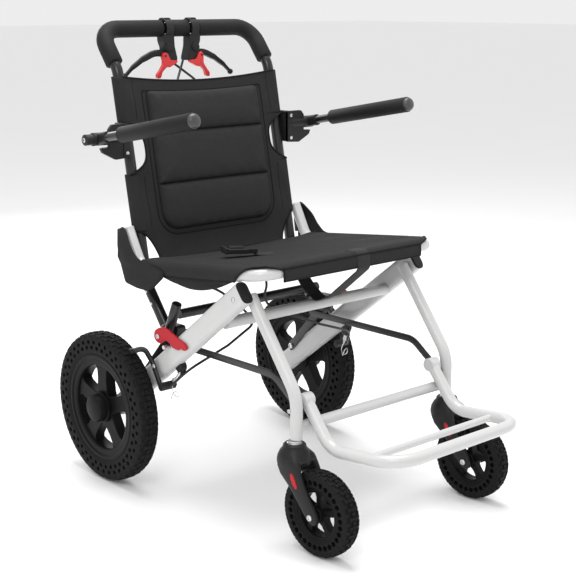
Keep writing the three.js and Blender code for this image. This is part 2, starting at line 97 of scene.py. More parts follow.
# ---- Materials ----------------------------------------------------------------------------
class Shader:
    """A procedural material: colour with a little variation, roughness and one or more bumps."""

    def __init__(self, name, colour, rough, metal=0.0, vary=0.12, vary_scale=25.0):
        self.material = bpy.data.materials.new(name)
        self.material.use_nodes = True
        self.tree = self.material.node_tree
        self.body = self.tree.nodes["Principled BSDF"]
        self.body.inputs["Metallic"].default_value = metal
        self.place = self.node("ShaderNodeTexCoord").outputs["Object"]
        self.height = None
        spots = self.noise(vary_scale, 4)
        ramp = self.node("ShaderNodeMix", data_type="RGBA")
        self.link(spots, ramp.inputs[0])
        ramp.inputs[6].default_value = (*[c * (1 - vary) for c in colour], 1)
        ramp.inputs[7].default_value = (*[min(1, c * (1 + vary)) for c in colour], 1)
        self.colour = ramp.outputs[2]
        self.link(self.colour, self.body.inputs["Base Color"])
        grain = self.noise(vary_scale * 6, 3)
        spread = self.node("ShaderNodeMapRange")
        self.link(grain, spread.inputs["Value"])
        spread.inputs["To Min"].default_value = max(0.05, rough - 0.06)
        spread.inputs["To Max"].default_value = min(1.0, rough + 0.06)
        self.link(spread.outputs["Result"], self.body.inputs["Roughness"])

    def node(self, kind, **settings):
        made = self.tree.nodes.new(kind)
        for key, value in settings.items():
            setattr(made, key, value)
        return made

    def link(self, start, end):
        self.tree.links.new(start, end)

    def noise(self, scale, detail):
        made = self.node("ShaderNodeTexNoise")
        made.inputs["Scale"].default_value = scale
        made.inputs["Detail"].default_value = detail
        self.link(self.place, made.inputs["Vector"])
        return made.outputs["Fac"]

    def maths(self, operation, a, b=0.0):
        made = self.node("ShaderNodeMath", operation=operation)
        for socket, value in zip(made.inputs, (a, b)):
            if isinstance(value, (int, float)):
                socket.default_value = value
            else:
                self.link(value, socket)
        return made.outputs["Value"]

    def bump(self, height, strength, distance):
        made = self.node("ShaderNodeBump")
        made.inputs["Strength"].default_value = strength
        made.inputs["Distance"].default_value = distance
        self.link(height, made.inputs["Height"])
        if self.height:
            self.link(self.height, made.inputs["Normal"])
        self.height = made.outputs["Normal"]
        self.link(self.height, self.body.inputs["Normal"])
        return self

    def grain(self, scale, strength, distance=0.0004):
        return self.bump(self.noise(scale, 3), strength, distance)

    def weave(self, pitch, strength, tilt=0.0):
        """Crossing threads, along X and along Y + Z, for level and for upright cloth."""
        axes = self.node("ShaderNodeSeparateXYZ")
        self.link(self.place, axes.inputs[0])
        across = self.maths("MULTIPLY", axes.outputs["X"], 2 * math.pi / pitch)
        sloped = self.maths("ADD", axes.outputs["Y"], axes.outputs["Z"])
        along = self.maths("MULTIPLY", sloped, 2 * math.pi / pitch)
        if tilt:
            across = self.maths("ADD", across, self.maths("MULTIPLY", along, tilt))
        threads = self.maths("MULTIPLY", self.maths("SINE", across), self.maths("SINE", along))
        return self.bump(threads, strength, pitch * 0.25)

    def set(self, **sockets):
        for key, value in sockets.items():
            self.body.inputs[key.replace("_", " ")].default_value = value
        return self

    def paint_edge_highlight(self, colour, amount):
        """Lighter colour where the surface turns sharply: a painted highlight along the edges."""
        edge = self.node("ShaderNodeNewGeometry").outputs["Pointiness"]
        where = self.node("ShaderNodeMapRange")
        where.inputs["From Min"].default_value = 0.53
        where.inputs["From Max"].default_value = 0.62
        where.inputs["To Max"].default_value = amount
        self.link(edge, where.inputs["Value"])
        mix = self.node("ShaderNodeMix", data_type="RGBA")
        self.link(where.outputs["Result"], mix.inputs[0])
        self.link(self.colour, mix.inputs[6])
        mix.inputs[7].default_value = (*colour, 1)
        self.colour = mix.outputs[2]
        self.link(self.colour, self.body.inputs["Base Color"])
        return self


SLOTS = {  # the finish that each material stands for
    "white": "white_powder_coat", "gloss": "black_powder_coat", "plastic": "black_plastic",
    "wheel": "black_plastic", "cap": "black_plastic", "foam": "foam", "fabric": "charcoal_fabric",
    "pad": "charcoal_fabric", "webbing": "webbing", "binding": "webbing", "tyre": "tyre_rubber",
    "cable": "cable_sheath", "steel": "steel", "red": "red_plastic", "dark_red": "dark_red_plastic",
}


def grey(value):
    return (value, value, value * 1.04)


def make_materials():
    made = {}
    made["white"] = Shader("white_paint", (0.54, 0.54, 0.537), 0.3, vary=0.015).grain(900, 0.06, 0.0003)
    made["white"].set(Coat_Weight=0.35, Coat_Roughness=0.12)
    made["gloss"] = Shader("black_paint", grey(0.008), 0.3, vary=0.1).grain(900, 0.08, 0.0003)
    # the lighter edges given below are a painted highlight along the black paint's sharp turns
    made["gloss"].set(Coat_Weight=0.2, Coat_Roughness=0.15,
        Specular_IOR_Level=0.4).paint_edge_highlight(grey(0.06), 0.3)
    made["plastic"] = Shader("black_plastic", grey(0.012), 0.45).grain(2200, 0.18, 0.0003)
    # lighter edges: a painted highlight on the black plastic's sharp turns
    made["plastic"].set(Specular_IOR_Level=0.25).paint_edge_highlight(grey(0.06), 0.3)
    made["wheel"] = Shader("wheel_plastic", grey(0.005), 0.45).grain(1500, 0.15, 0.0003)
    # lighter edges: a painted highlight on the wheel plastic's sharp turns
    made["wheel"].set(Specular_IOR_Level=0.1).paint_edge_highlight(grey(0.02), 0.25)
    made["cap"] = Shader("cap_plastic", grey(0.05), 0.35).grain(1500, 0.1, 0.0003)
    made["foam"] = Shader("foam_sleeve", grey(0.013), 0.66, vary=0.15, vary_scale=60).grain(2600, 0.35,
        0.0005)
    made["foam"].set(Specular_IOR_Level=0.2)
    made["fabric"] = Shader("woven_fabric", grey(0.024), 0.85, vary=0.1, vary_scale=14)
    made["fabric"].weave(0.0016, 0.45, 0.5).grain(120, 0.12, 0.002).set(Specular_IOR_Level=0.15)
    made["pad"] = Shader("pad_fabric", grey(0.024), 0.82, vary=0.1, vary_scale=14)
    made["pad"].weave(0.0016, 0.45, 0.5).grain(90, 0.15, 0.003).set(Specular_IOR_Level=0.2)
    made["binding"] = Shader("binding_tape", grey(0.010), 0.8).weave(0.0009, 0.5)
    made["binding"].set(Specular_IOR_Level=0.15)
    made["webbing"] = Shader("webbing", grey(0.010), 0.75).weave(0.0022, 0.8)
    made["tyre"] = Shader("tyre_rubber", grey(0.008), 0.72, vary=0.25, vary_scale=35).grain(1400, 0.4,
        0.0006)
    made["tyre"].set(Specular_IOR_Level=0.15)
    made["cable"] = Shader("cable_sheath", grey(0.005), 0.4).grain(1500, 0.1)
    made["steel"] = Shader("zinc_steel", (0.62, 0.62, 0.63), 0.32, metal=1.0, vary=0.08).grain(1800,
        0.12)
    made["red"] = Shader("red_plastic", (0.66, 0.02, 0.024), 0.36, vary=0.05).grain(1800, 0.1)
    made["red"].set(Coat_Weight=0.2, Coat_Roughness=0.2)
    made["dark_red"] = Shader("dark_red_plastic", (0.44, 0.004, 0.012), 0.4, vary=0.06).grain(1800, 0.1)
    made["dark_red"].set(Specular_IOR_Level=0.3)
    made["floor"] = Shader("floor", (0.92, 0.92, 0.92), 0.75, vary=0.01, vary_scale=3)
    return {key: shader.material for key, shader in made.items()}


# ---- Mesh helpers. Shapes are in millimetres, in the CAD source's coordinates ---------------
def finish_mesh(name, data, material, body, replaces=(), sharp=38, bevel=0.0):
    bm = bmesh.new()
    bm.from_mesh(data)
    bmesh.ops.remove_doubles(bm, verts=bm.verts, dist=1e-6)
    bmesh.ops.recalc_face_normals(bm, faces=bm.faces)
    for face in bm.faces:
        face.smooth = True
    for edge in bm.edges:
        if len(edge.link_faces) == 2:
            edge.smooth = edge.calc_face_angle(0) < math.radians(sharp)
    bm.to_mesh(data)
    bm.free()
    item = bpy.data.objects.new(name, data)
    SCENE.collection.objects.link(item)
    data.materials.append(MATERIALS[material])
    if bevel:
        edge = item.modifiers.new("bevel", "BEVEL")
        edge.width = bevel / 1000
        edge.segments = 2
        edge.angle_limit = math.radians(35)
        edge.harden_normals = True
    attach(item, body)
    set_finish(item, SLOTS[material])
    if replaces:
        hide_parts(*replaces)
    return item


def build(name, verts, faces, material, body, **more):
    data = bpy.data.meshes.new(name)
    data.from_pydata([(x / 1000, (y + CENTRE_Y) / 1000, z / 1000) for x, y, z in verts], [], faces)
    return finish_mesh(name, data, material, body, **more)


class Pile:
    """Verts and faces collected from several shapes."""

    def __init__(self):
        self.verts = []
        self.faces = []

    def add(self, verts, faces, move=None):
        base = len(self.verts)
        for vert in verts:
            vert = Vector(vert)
            self.verts.append(tuple(move @ vert if move else vert))
        self.faces.extend([[base + k for k in face] for face in faces])
        return self

    def object(self, name, *rest, **more):
        return build(name, self.verts, self.faces, *rest, **more)


def put(shape, *rest, **more):
    """A piece made of one shape."""
    return Pile().add(*shape).object(*rest, **more)


def bent_path(corners, bend, steps=8):
    points = [Vector(c) for c in corners]
    stations = [(points[0], (points[1] - points[0]).normalized())]
    for before, corner, after in zip(points, points[1:], points[2:]):
        way_in = (corner - before).normalized()
        way_out = (after - corner).normalized()
        angle = way_in.angle(way_out)
        if angle < 1e-3:
            continue
        room = 0.49 * min((corner - before).length, (after - corner).length)
        set_back = min(bend * math.tan(angle / 2), room)
        radius = set_back / math.tan(angle / 2)
        centre = corner + (way_out - way_in).normalized() * (radius / math.cos(angle / 2))
        start = corner - way_in * set_back - centre
        axis = way_in.cross(way_out).normalized()
        for k in range(steps + 1):
            turn = Matrix.Rotation(angle * k / steps, 3, axis)
            stations.append((centre + turn @ start, turn @ way_in))
    stations.append((points[-1], (points[-1] - points[-2]).normalized()))
    return stations


def sweep(section, stations, across=(1, 0, 0), scales=None):
    """Verts and faces of a section carried along a path; `across` is its first axis."""
    verts, faces = [], []
    first = Vector(across)
    count = len(section)
    for i, (place, along) in enumerate(stations):
        first = (first - along * first.dot(along)).normalized()
        second = along.cross(first)
        size = scales[i] if scales else 1.0
        verts.extend(place + first * u * size + second * v * size for u, v in section)
        if i:
            base = (i - 1) * count
            for k in range(count):
                nxt = (k + 1) % count
                faces.append([base + k, base + nxt, base + count + nxt, base + count + k])
    faces.append(list(range(count))[::-1])
    faces.append([len(verts) - count + k for k in range(count)])
    return verts, faces


def ring_section(radius, sides=24):
    turns = [2 * math.pi * k / sides for k in range(sides)]
    return [(radius * math.cos(t), radius * math.sin(t)) for t in turns]


def tube(corners, radius, bend=40, sides=24, steps=8):
    start = Vector(corners[1]) - Vector(corners[0])
    across = (1, 0, 0) if abs(start.normalized().x) < 0.9 else (0, 1, 0)
    return sweep(ring_section(radius, sides), bent_path(corners, bend, steps), across)


def round_end(corners, radius, bend=40, sides=24, dome=0.6):
    """A tube whose two ends are softly domed."""
    stations = bent_path(corners, bend)
    (head, head_way), (tail, tail_way) = stations[0], stations[-1]
    turns = [math.radians(a) for a in (80, 60, 40, 20)]
    depth = dome * radius
    front = [(head + head_way * depth * (1 - math.sin(t)), head_way) for t in turns]
    rear = [(tail - tail_way * depth * (1 - math.sin(t)), tail_way) for t in reversed(turns)]
    rounds = [math.cos(t) for t in turns]
    inner = [(head + head_way * depth, head_way)] + stations[1:-1] + [(tail - tail_way * depth,
        tail_way)]
    scales = rounds + [1.0] * len(inner) + rounds[::-1]
    across = (1, 0, 0) if abs(head_way.x) < 0.9 else (0, 1, 0)
    return sweep(ring_section(radius, sides), front + inner + rear, across, scales)


def smooth_outline(corners, radius, steps=4):
    points = [Vector(c) for c in corners]
    out = []
    for i, corner in enumerate(points):
        before, after = points[i - 1], points[(i + 1) % len(points)]
        start = corner.lerp(before, min(radius,
            0.45 * (before - corner).length) / (before - corner).length)
        end = corner.lerp(after, min(radius, 0.45 * (after - corner).length) / (after - corner).length)
        for k in range(steps + 1):
            t = k / steps
            out.append(start * (1 - t) ** 2 + corner * 2 * t * (1 - t) + end * t**2)
    return [tuple(p) for p in out]


def slab(outline, near, far, axes="yz"):
    """A plate: its outline lies in two axes, and it runs from near to far along the third."""
    def spot(a, b, c):
        return {"yz": (c, a, b), "xz": (a, c, b), "xy": (a, b, c)}[axes]

    near, far = sorted((near, far))
    count = len(outline)
    verts = [spot(a, b, near) for a, b in outline] + [spot(a, b, far) for a, b in outline]
    faces = [[k, (k + 1) % count, count + (k + 1) % count, count + k] for k in range(count)]
    faces += [list(range(count))[::-1], list(range(count, 2 * count))]
    return verts, faces


def lathe(profile, sides=32, axis="x", centre=(0, 0, 0)):
    """A closed or on-axis profile of (radius, distance) turned about an axis."""
    verts, faces = [], []
    rows = len(profile)
    for k in range(sides):
        turn = 2 * math.pi * k / sides
        for radius, run in profile:
            a, b = radius * math.cos(turn), radius * math.sin(turn)
            spot = {"x": (run, a, b), "z": (a, b, run), "y": (b, run, a)}[axis]
            verts.append(tuple(Vector(spot) + Vector(centre)))
        nxt = (k + 1) % sides
        for i in range(rows - 1):
            faces.append([k * rows + i, nxt * rows + i, nxt * rows + i + 1, k * rows + i + 1])
    return verts, faces


def disc(radius, near, far, sides, axis, centre):
    return lathe([(0, near), (radius, near), (radius, far), (0, far)], sides, axis, centre)


def bolt(centre, way, radius=5, height=3, socket=True):
    """A round bolt head with a hexagon socket; `way` is +1 or -1 along X."""
    x, y, z = centre
    bevel = radius * 0.25
    profile = [(radius, 0), (radius, height - bevel), (radius - bevel, height)]
    if socket:
        profile += [(radius * 0.5, height), (radius * 0.42, height - 1.4), (0, height - 1.4)]
    else:
        profile += [(0, height)]
    return lathe([(r, way * h) for r, h in profile], 12, "x", (x, y, z))


place_camera()
light_studio()
MATERIALS = make_materials()

# ---- Dimensions shared with the CAD source --------------------------------------------------
TUBE_R = 11
BEAM_X, BEAM_W, BEAM_H = 218, 26, 43
BEAM_FRONT, BEAM_REAR = (-107, 437.6), (284, 137.3)
LEG_X, LEG_TOP = 193, (-95, 427)
CASTER_X, CASTER_Y, CASTER_TRAIL, CASTER_R, CASTER_TURN = 197.5, -215, 64, 77, 4
WHEEL_X, WHEEL_Y, WHEEL_R = 262.5, 267, 150
BACK_X, BACK_R = 190, 10.8
BACK_FOOT, BACK_KNEE, BACK_BEND, HANDLE_TOP = (166, 322), (224, 395), (303, 800), (363, 876)
LATCH, LATCH_PIN = (127, 315), (98, 301)
LOWER_PIVOT, UPPER_PIVOT = (240, 192), (152, 288)
ARM_X, ARM_PIVOT, ARM_TILT, ARM_LENGTH = 265.5, (262, 677), 10.4, 303
SEAT_X, SEAT_FRONT, SEAT_REAR, SEAT_TOP = 216, (-146, 473), (205, 434), (244, 503)
FOOT_X, FOOT_PIVOT, FOOT_BEND, FOOT_FRONT = 162, (-206, 256), (-268, 180), (-424, 197)
CROSS = (-36, 367)
FOOT_BAR_SHARE, FOOT_BAR_R = 0.57, 6.5  # where the foot bar crosses, and its radius
CROSS_R, GRIP_R, ARM_R, ARM_FOAM_R, CABLE_R = 9.5, 17, 8.5, 15, 2.5
INNER_FACE, OUTER_FACE = BEAM_X - BEAM_W / 2, BEAM_X + BEAM_W / 2
BEAM_LENGTH = (Vector(BEAM_REAR) - Vector(BEAM_FRONT)).length


def at(x, point):
    return (x, *point)


def back_line(z):
    return BACK_KNEE[0] + (z - BACK_KNEE[1]) * (BACK_BEND[0] - BACK_KNEE[0]) / (BACK_BEND[
        1] - BACK_KNEE[1])


def seat_line(y):
    share = (y - SEAT_FRONT[0]) / (SEAT_REAR[0] - SEAT_FRONT[0])
    return SEAT_FRONT[1] + share * (SEAT_REAR[1] - SEAT_FRONT[1])


def step(value, low, high):
    """0 below low, 1 above high, smooth between."""
    t = min(1, max(0, (value - low) / (high - low)))
    return t * t * (3 - 2 * t)


def both_sides(side_points):
    """A path along one side, across, and back along the other."""
    return [at(-abs(x), p) for x, p in side_points] + [at(abs(x), p) for x, p in reversed(side_points)]


# ---- White frame --------------------------------------------------------------------------
def stadium(width, height):
    w, h = width / 2, height / 2
    return smooth_outline([(-w, -h), (w, -h), (w, h), (-w, h)], w, 8)


def beam_span(side, start, end):
    front, rear = Vector(at(side * BEAM_X, BEAM_FRONT)), Vector(at(side * BEAM_X, BEAM_REAR))
    way = (rear - front).normalized()
    return [(front + way * start, way), (front + way * end, way)]


def make_frame():
    for word, side in SIDES:
        put(sweep(stadium(BEAM_W, BEAM_H), beam_span(side, 0, BEAM_LENGTH)), f"beam_tube_{word}",
            "white", "frame", replaces=[f"beam_{word}"], bevel=0.7)
        plug = Pile()
        for start, end, less in ((-1.2, 0.2, (1.5, 1.5)), (-3.2, -1.0, (5, 6)),
                (BEAM_LENGTH - 0.2, BEAM_LENGTH + 1.6, (1.5, 1.5)),
                (BEAM_LENGTH + 1.2, BEAM_LENGTH + 3.0, (5, 6))):
            section = stadium(BEAM_W - less[0], BEAM_H - less[1])
            plug.add(*sweep(section, beam_span(side, start, end)))
        plug.object(f"beam_end_plug_{word}", "plastic", "frame", replaces=[f"beam_plug_{word}"],
            bevel=0.6)
        legs = [at(side * LEG_X, LEG_TOP), at(side * LEG_X, (CASTER_Y, 270)),
            at(side * LEG_X, (CASTER_Y, 193))]
        put(tube(legs, TUBE_R, 70), f"leg_tube_{word}", "white", "legs", replaces=[f"front_leg_{word}"],
            bevel=0.6)
    cross = [at(-INNER_FACE, CROSS), at(INNER_FACE, CROSS)]
    put(tube(cross, TUBE_R), "cross_bar", "white", "frame", replaces=["cross_tube"])
    seat = both_sides([(SEAT_X, SEAT_TOP), (SEAT_X, SEAT_REAR), (SEAT_X, SEAT_FRONT)])
    put(tube(seat, TUBE_R, 30, steps=6), "seat_rails", "white", "frame", replaces=["seat_frame"],
        bevel=0.6)
    low = [(-LEG_X, CASTER_Y + 3, 213), (LEG_X, CASTER_Y + 3, 213)]
    put(tube(low, CROSS_R), "leg_cross_bar", "white", "legs", replaces=["leg_cross_tube"])
    rails = both_sides([(FOOT_X, FOOT_PIVOT), (FOOT_X, FOOT_BEND), (FOOT_X, FOOT_FRONT)])
    bar = [FOOT_BEND[k] + FOOT_BAR_SHARE * (FOOT_FRONT[k] - FOOT_BEND[k]) for k in (0, 1)]
    loop = Pile().add(*tube(rails, TUBE_R, 52)).add(*tube([at(-FOOT_X, bar), at(FOOT_X, bar)],
        FOOT_BAR_R))
    loop.object("footrest_loop", "white", "footrest", replaces=["footrest"], bevel=0.5)


# ---- Black back frame, foam and armrests ----------------------------------------------------
def make_back_frame():
    frame_path = both_sides([(BACK_X, p) for p in (BACK_FOOT, BACK_KNEE, BACK_BEND, HANDLE_TOP)])
    put(tube(frame_path, BACK_R, 48), "back_tube", "gloss", "backrest", replaces=["back_frame"],
        bevel=0.6)
    run = (Vector(HANDLE_TOP) - Vector(BACK_BEND)).normalized()
    start = tuple(Vector(BACK_BEND) + run * 14)
    for word, side in SIDES:
        sleeve = [at(side * BACK_X, start), at(side * BACK_X, HANDLE_TOP), at(side * 42.5, HANDLE_TOP)]
        grip = put(round_end(sleeve, GRIP_R, 48, dome=0.2), f"foam_grip_{word}", "foam", "backrest",
            replaces=[f"handle_grip_{word}"], sharp=60)
    grip = put(round_end([at(-21.5, HANDLE_TOP), at(21.5, HANDLE_TOP)], GRIP_R, dome=0.15),
        "foam_grip_middle", "foam", "backrest", replaces=["handle_grip_middle"], sharp=60)
    put(tube([(-179, 136, 347), (179, 136, 347)], CROSS_R), "back_cross_bar", "gloss", "backrest",
        replaces=["back_cross_tube"])
    for word, side in SIDES:
        outline = smooth_outline([(170, 309), (158, 326), (138, 331), (108, 331), (114, 300),
            (138, 279), (162, 279)], 8)
        put(slab(outline, side * 183, side * 203), f"knuckle_{word}", "gloss", "backrest",
            replaces=[f"back_knuckle_{word}"], bevel=1.6)


def make_armrests():
    tilt = math.radians(ARM_TILT)
    ahead = Vector((0, -math.cos(tilt), math.sin(tilt)))
    for word, side in SIDES:
        pivot = Vector(at(side * ARM_X, ARM_PIVOT))

        def along(distance):
            return tuple(pivot + ahead * distance)

        parts = Pile().add(*tube([along(0), along(ARM_LENGTH - 14)], ARM_R))
        parts.object(f"arm_bar_{word}", "gloss", f"armrest_{word}", bevel=0.5)
        pad = Pile().add(*round_end([along(78), along(ARM_LENGTH - 1)], ARM_FOAM_R, dome=0.25,
            sides=28))
        foam = pad.object(f"arm_foam_{word}", "foam", f"armrest_{word}",
            replaces=[f"armrest_pad_{word}"], sharp=60)
        cap = []
        sizes = [13.4, 13.4, 12.8, 11.2, 8.2, 4]
        for reach in (-5, -2, 0.8, 3.2, 5.0, 6.0):
            cap.append((Vector(along(ARM_LENGTH - 0.5 + reach)), ahead))
        put(sweep(ring_section(1, 24), cap, scales=sizes), f"arm_cap_{word}", "cap", f"armrest_{word}",
            sharp=50)

        # The hinge knuckle: an open clevis on the tube's rear end, with a pin through it.
        near, far = sorted((side * (ARM_X - 15.5), side * (ARM_X + 14)))
        knuckle = Pile().add(*disc(12.5, near, far, 24, "x", at(0, ARM_PIVOT)))
        head = [along(-2), along(34)]
        knuckle.add(*sweep(stadium(17, 23), [(Vector(p), ahead) for p in head]))
        knuckle.object(f"arm_knuckle_{word}", "plastic", f"armrest_{word}",
            replaces=[f"armrest_tube_{word}"], bevel=1.2)
        outer = side * (ARM_X + 14)
        stub = [(0, outer), (10.5, outer), (10.5, outer + side * 16), (8, outer + side * 17.8),
            (0, outer + side * 18)]
        put(lathe(stub, 24, "x", at(0, ARM_PIVOT)), f"arm_release_{word}", "plastic", f"armrest_{word}",
            sharp=35)
        put(bolt((outer + side * 17, *ARM_PIVOT), side, 4.5, 2), f"arm_bolt_{word}", "steel",
            f"armrest_{word}")

        # The bracket: a moulded gusset that faces forward, on a clamp round the upright's side.
        inner = BACK_X + BACK_R + 1
        web = smooth_outline([(side * x, z) for x,
            z in ((inner, 703), (240, 703), (248, 694), (248, 661), (267, 660), (263, 651), (234, 636),
            (inner, 638))], 2)
        body = Pile().add(*slab(web, 252, 259, "xz"))
        flange = smooth_outline([(side * x, z) for x,
            z in ((inner, 703), (214, 703), (216, 672), (216, 640), (inner, 638))], 3)
        body.add(*slab(flange, 250, 284, "xz"))
        near, far = sorted((side * (inner + 5), side * (ARM_X - 15.8)))
        body.add(*disc(12.8, near, far, 24, "x", at(0, ARM_PIVOT)))
        body.add(*slab([(side * 216, 654), (side * 250, 654), (side * 250, 659), (side * 216, 659)],
            259, 276, "xz"))
        body.object(f"arm_bracket_{word}", "plastic", "backrest", replaces=[f"armrest_bracket_{word}"],
            bevel=1.4)
        bolts = Pile()
        for x, z in ((209, 694), (209, 647)):
            bolts.add(*lathe([(0, 250.2), (3.6, 250.2), (3.6, 248.4), (2, 247.8), (0, 247.8)], 12, "y",
                (side * x, 0, z)))
        bolts.object(f"bracket_bolts_{word}", "steel", "backrest")


# ---- Attendant's brake levers -------------------------------------------------------------
def make_brake_levers():
    top_y, top_z = HANDLE_TOP
    for word, side in SIDES:
        x = side * 32
        near, far = x - 9.3, x + 9.3
        collar = [(17.3, near), (20.5, near), (20.5, far), (17.3, far), (17.3, near)]
        body = Pile().add(*lathe(collar, 32, "x", at(0, HANDLE_TOP)))
        front = [(side * a, b) for a, b in ((20, 864), (47, 864), (46, 850), (41, 838), (41, 826),
            (37, 812), (13, 811), (13, 818), (19, 840))]
        body.add(*slab(smooth_outline(front, 3), top_y - 15, top_y + 9, "xz"))
        button = [(0, top_y - 15), (9.5, top_y - 15), (9.5, top_y - 17.5), (7.5, top_y - 18.5),
            (0, top_y - 18.5)]
        body.add(*lathe(button, 20, "y", (side * 33, 0, 838)))
        body.add(*slab(smooth_outline([(side * 25, 888), (side * 40, 888), (side * 40, 897),
            (side * 25, 897)], 3), top_y - 10, top_y + 10, "xz"))
        body.object(f"lever_clamp_{word}", "plastic", "backrest", replaces=[f"brake_clamp_{word}"],
            bevel=1.1)
        screw = disc(3.4, 0, -2.4, 12, "y", (side * 26, top_y - 15, 871))
        put(screw, f"clamp_screw_{word}", "steel", "backrest")

        # The lever: a curved flat blade that thins towards a ball end.
        path = [(side * 38, 361, 826), (side * 62, 361, 828), (side * 92, 361, 815),
            (side * 116, 361, 800), (side * 133, 361, 785)]
        stations = bent_path(path, 60, 5)
        share = [k / (len(stations) - 1) for k in range(len(stations))]
        blade = smooth_outline([(-6.5, -5.5), (6.5, -5.5), (6.5, 5.5), (-6.5, 5.5)], 3, 3)
        sizes = [1.3 - 0.75 * s for s in share]
        lever = Pile().add(*sweep(blade, stations, (0, 1, 0), sizes))
        ball = [(6 * math.cos(math.radians(a)), 6 * math.sin(math.radians(a))) for a in range(-90, 91,
            18)]
        lever.add(*lathe(ball, 18, "x", (side * 134.5, 361, 784)))
        lever.object(f"lever_blade_{word}", "plastic", f"brake_lever_{word}",
            replaces=[f"brake_lever_{word}"], sharp=50)

        tab = [(side * a, b) for a, b in ((46, 829), (40, 826), (33, 813), (15, 812), (17, 807),
            (37, 798), (42, 800), (54, 790), (58, 778), (66, 777), (67, 785), (59, 794), (51, 805),
            (51, 824))]
        lock = Pile().add(*slab(smooth_outline(tab, 3), top_y - 19.5, top_y - 11, "xz"))
        lock.object(f"lock_tab_{word}", "red", f"brake_lock_{word}", replaces=[f"brake_lock_{word}"],
            bevel=1.2)
        pin = disc(2.2, 0, -1.2, 12, "y", (side * 46, top_y - 19.5, 822))
        put(pin, f"lock_pin_{word}", "plastic", f"brake_lock_{word}")


# ---- Fold arms, links and latch -----------------------------------------------------------
def make_fold():
    for word, side in SIDES:
        low, high = Vector(at(0, LOWER_PIVOT)), Vector(at(0, UPPER_PIVOT))
        way = (high - low).normalized()
        bar = smooth_outline([(-1.7, -9), (1.7, -9), (1.7, 9), (-1.7, 9)], 1, 2)
        x = side * (INNER_FACE - 2)
        arm = [(Vector((x, *p.yz)), way) for p in (low - way * 10, low, high, high + way * 9)]
        put(sweep(bar, arm, scales=[0.75, 1, 1, 0.75]), f"fold_bar_{word}", "gloss", "fold_arms",
            replaces=[f"fold_arm_{word}"])
        hinge = Pile().add(*bolt((x - side * 1.7, *LOWER_PIVOT), -side, 6, 4))
        hinge.object(f"fold_bolt_{word}", "steel", "fold_arms")

        path = [at(side * 179, p) for p in ((UPPER_PIVOT[0], UPPER_PIVOT[1] - 1), (-140, 289),
            (-213, 237))]
        link = smooth_outline([(-2.1, -6.6), (2.1, -6.6), (2.1, 6.6), (-2.1, 6.6)], 1, 2)
        put(sweep(link, bent_path(path, 45, 8)), f"link_bar_{word}", "gloss", "links",
            replaces=[f"fold_link_{word}"])

        hook = [(141, 310), (139, 324), (128, 331), (110, 337), (92, 333), (62, 322), (44, 317),
            (37, 311), (42, 304), (52, 303), (58, 307), (64, 300), (74, 301), (84, 302), (90, 308),
            (99, 312), (110, 310), (118, 302), (131, 302)]
        outline = smooth_outline(hook, 5)
        put(slab(outline, side * (OUTER_FACE + 0.8), side * (OUTER_FACE + 5.2)), f"hook_{word}",
            "dark_red", "latch", replaces=[f"latch_hook_{word}"], bevel=1.4)
        put(bolt((side * (OUTER_FACE + 5.2), *LATCH), side, 5, 2.6), f"hook_bolt_{word}", "steel",
            "latch")
    shaft = Pile().add(*tube([at(-OUTER_FACE, LATCH), at(OUTER_FACE, LATCH)], 3, sides=16))
    shaft.add(*round_end([(-212, 127, 315), (-212, 97, 381)], 9.6, dome=0.25))
    shaft.object("pedal", "gloss", "latch", replaces=["latch_shaft"], sharp=50)


# ---- Wheels -------------------------------------------------------------------------------
def holed_side(pile, side, x, inner, outer, bands, count):
    """A side wall with rings of holes; a band is (inner, outer, hole radius, turned or not)."""
    half = math.pi / count

    def spot(radius, turn, depth=0.0):
        return (side * (x - depth), radius * math.cos(turn), radius * math.sin(turn))

    def plain(r0, x0, r1, x1):
        verts, faces = [], []
        for k in range(2 * count):
            verts += [(side * x0, r0 * math.cos(k * half), r0 * math.sin(k * half)),
                (side * x1, r1 * math.cos(k * half), r1 * math.sin(k * half))]
            nxt = (k + 1) % (2 * count)
            faces.append([2 * k, 2 * nxt, 2 * nxt + 1, 2 * k + 1])
        pile.add(verts, faces)

    plain(inner[0], inner[1], bands[0][0], x)
    plain(bands[-1][1], x, outer[0], outer[1])
    for low, high, hole, turned in bands:
        middle = (low + high) / 2
        for k in range(count):
            a0 = (2 * k + turned) * half
            a1, a2 = a0 + half, a0 + 2 * half
            edge = [(low, a0), (low, a1), (low, a2), (middle, a2), (high, a2), (high, a1), (high, a0),
                (middle, a0)]
            rim, floor = [], []
            for radius, turn in edge:
                across = (turn - a1) * middle
                up = radius - middle
                size = math.hypot(across, up)
                du, dv = across / size * hole, up / size * hole
                rim.append(spot(middle + dv, a1 + du / middle))
                floor.append(spot(middle + dv * 0.9, a1 + 0.9 * du / middle, 7))
            verts = [spot(r, t) for r, t in edge] + rim + floor
            faces = []
            for i in range(8):
                j = (i + 1) % 8
                faces += [[i, j, 8 + j, 8 + i], [8 + i, 8 + j, 16 + j, 16 + i]]
            faces.append([16 + i for i in range(8)])
            pile.add(verts, faces)


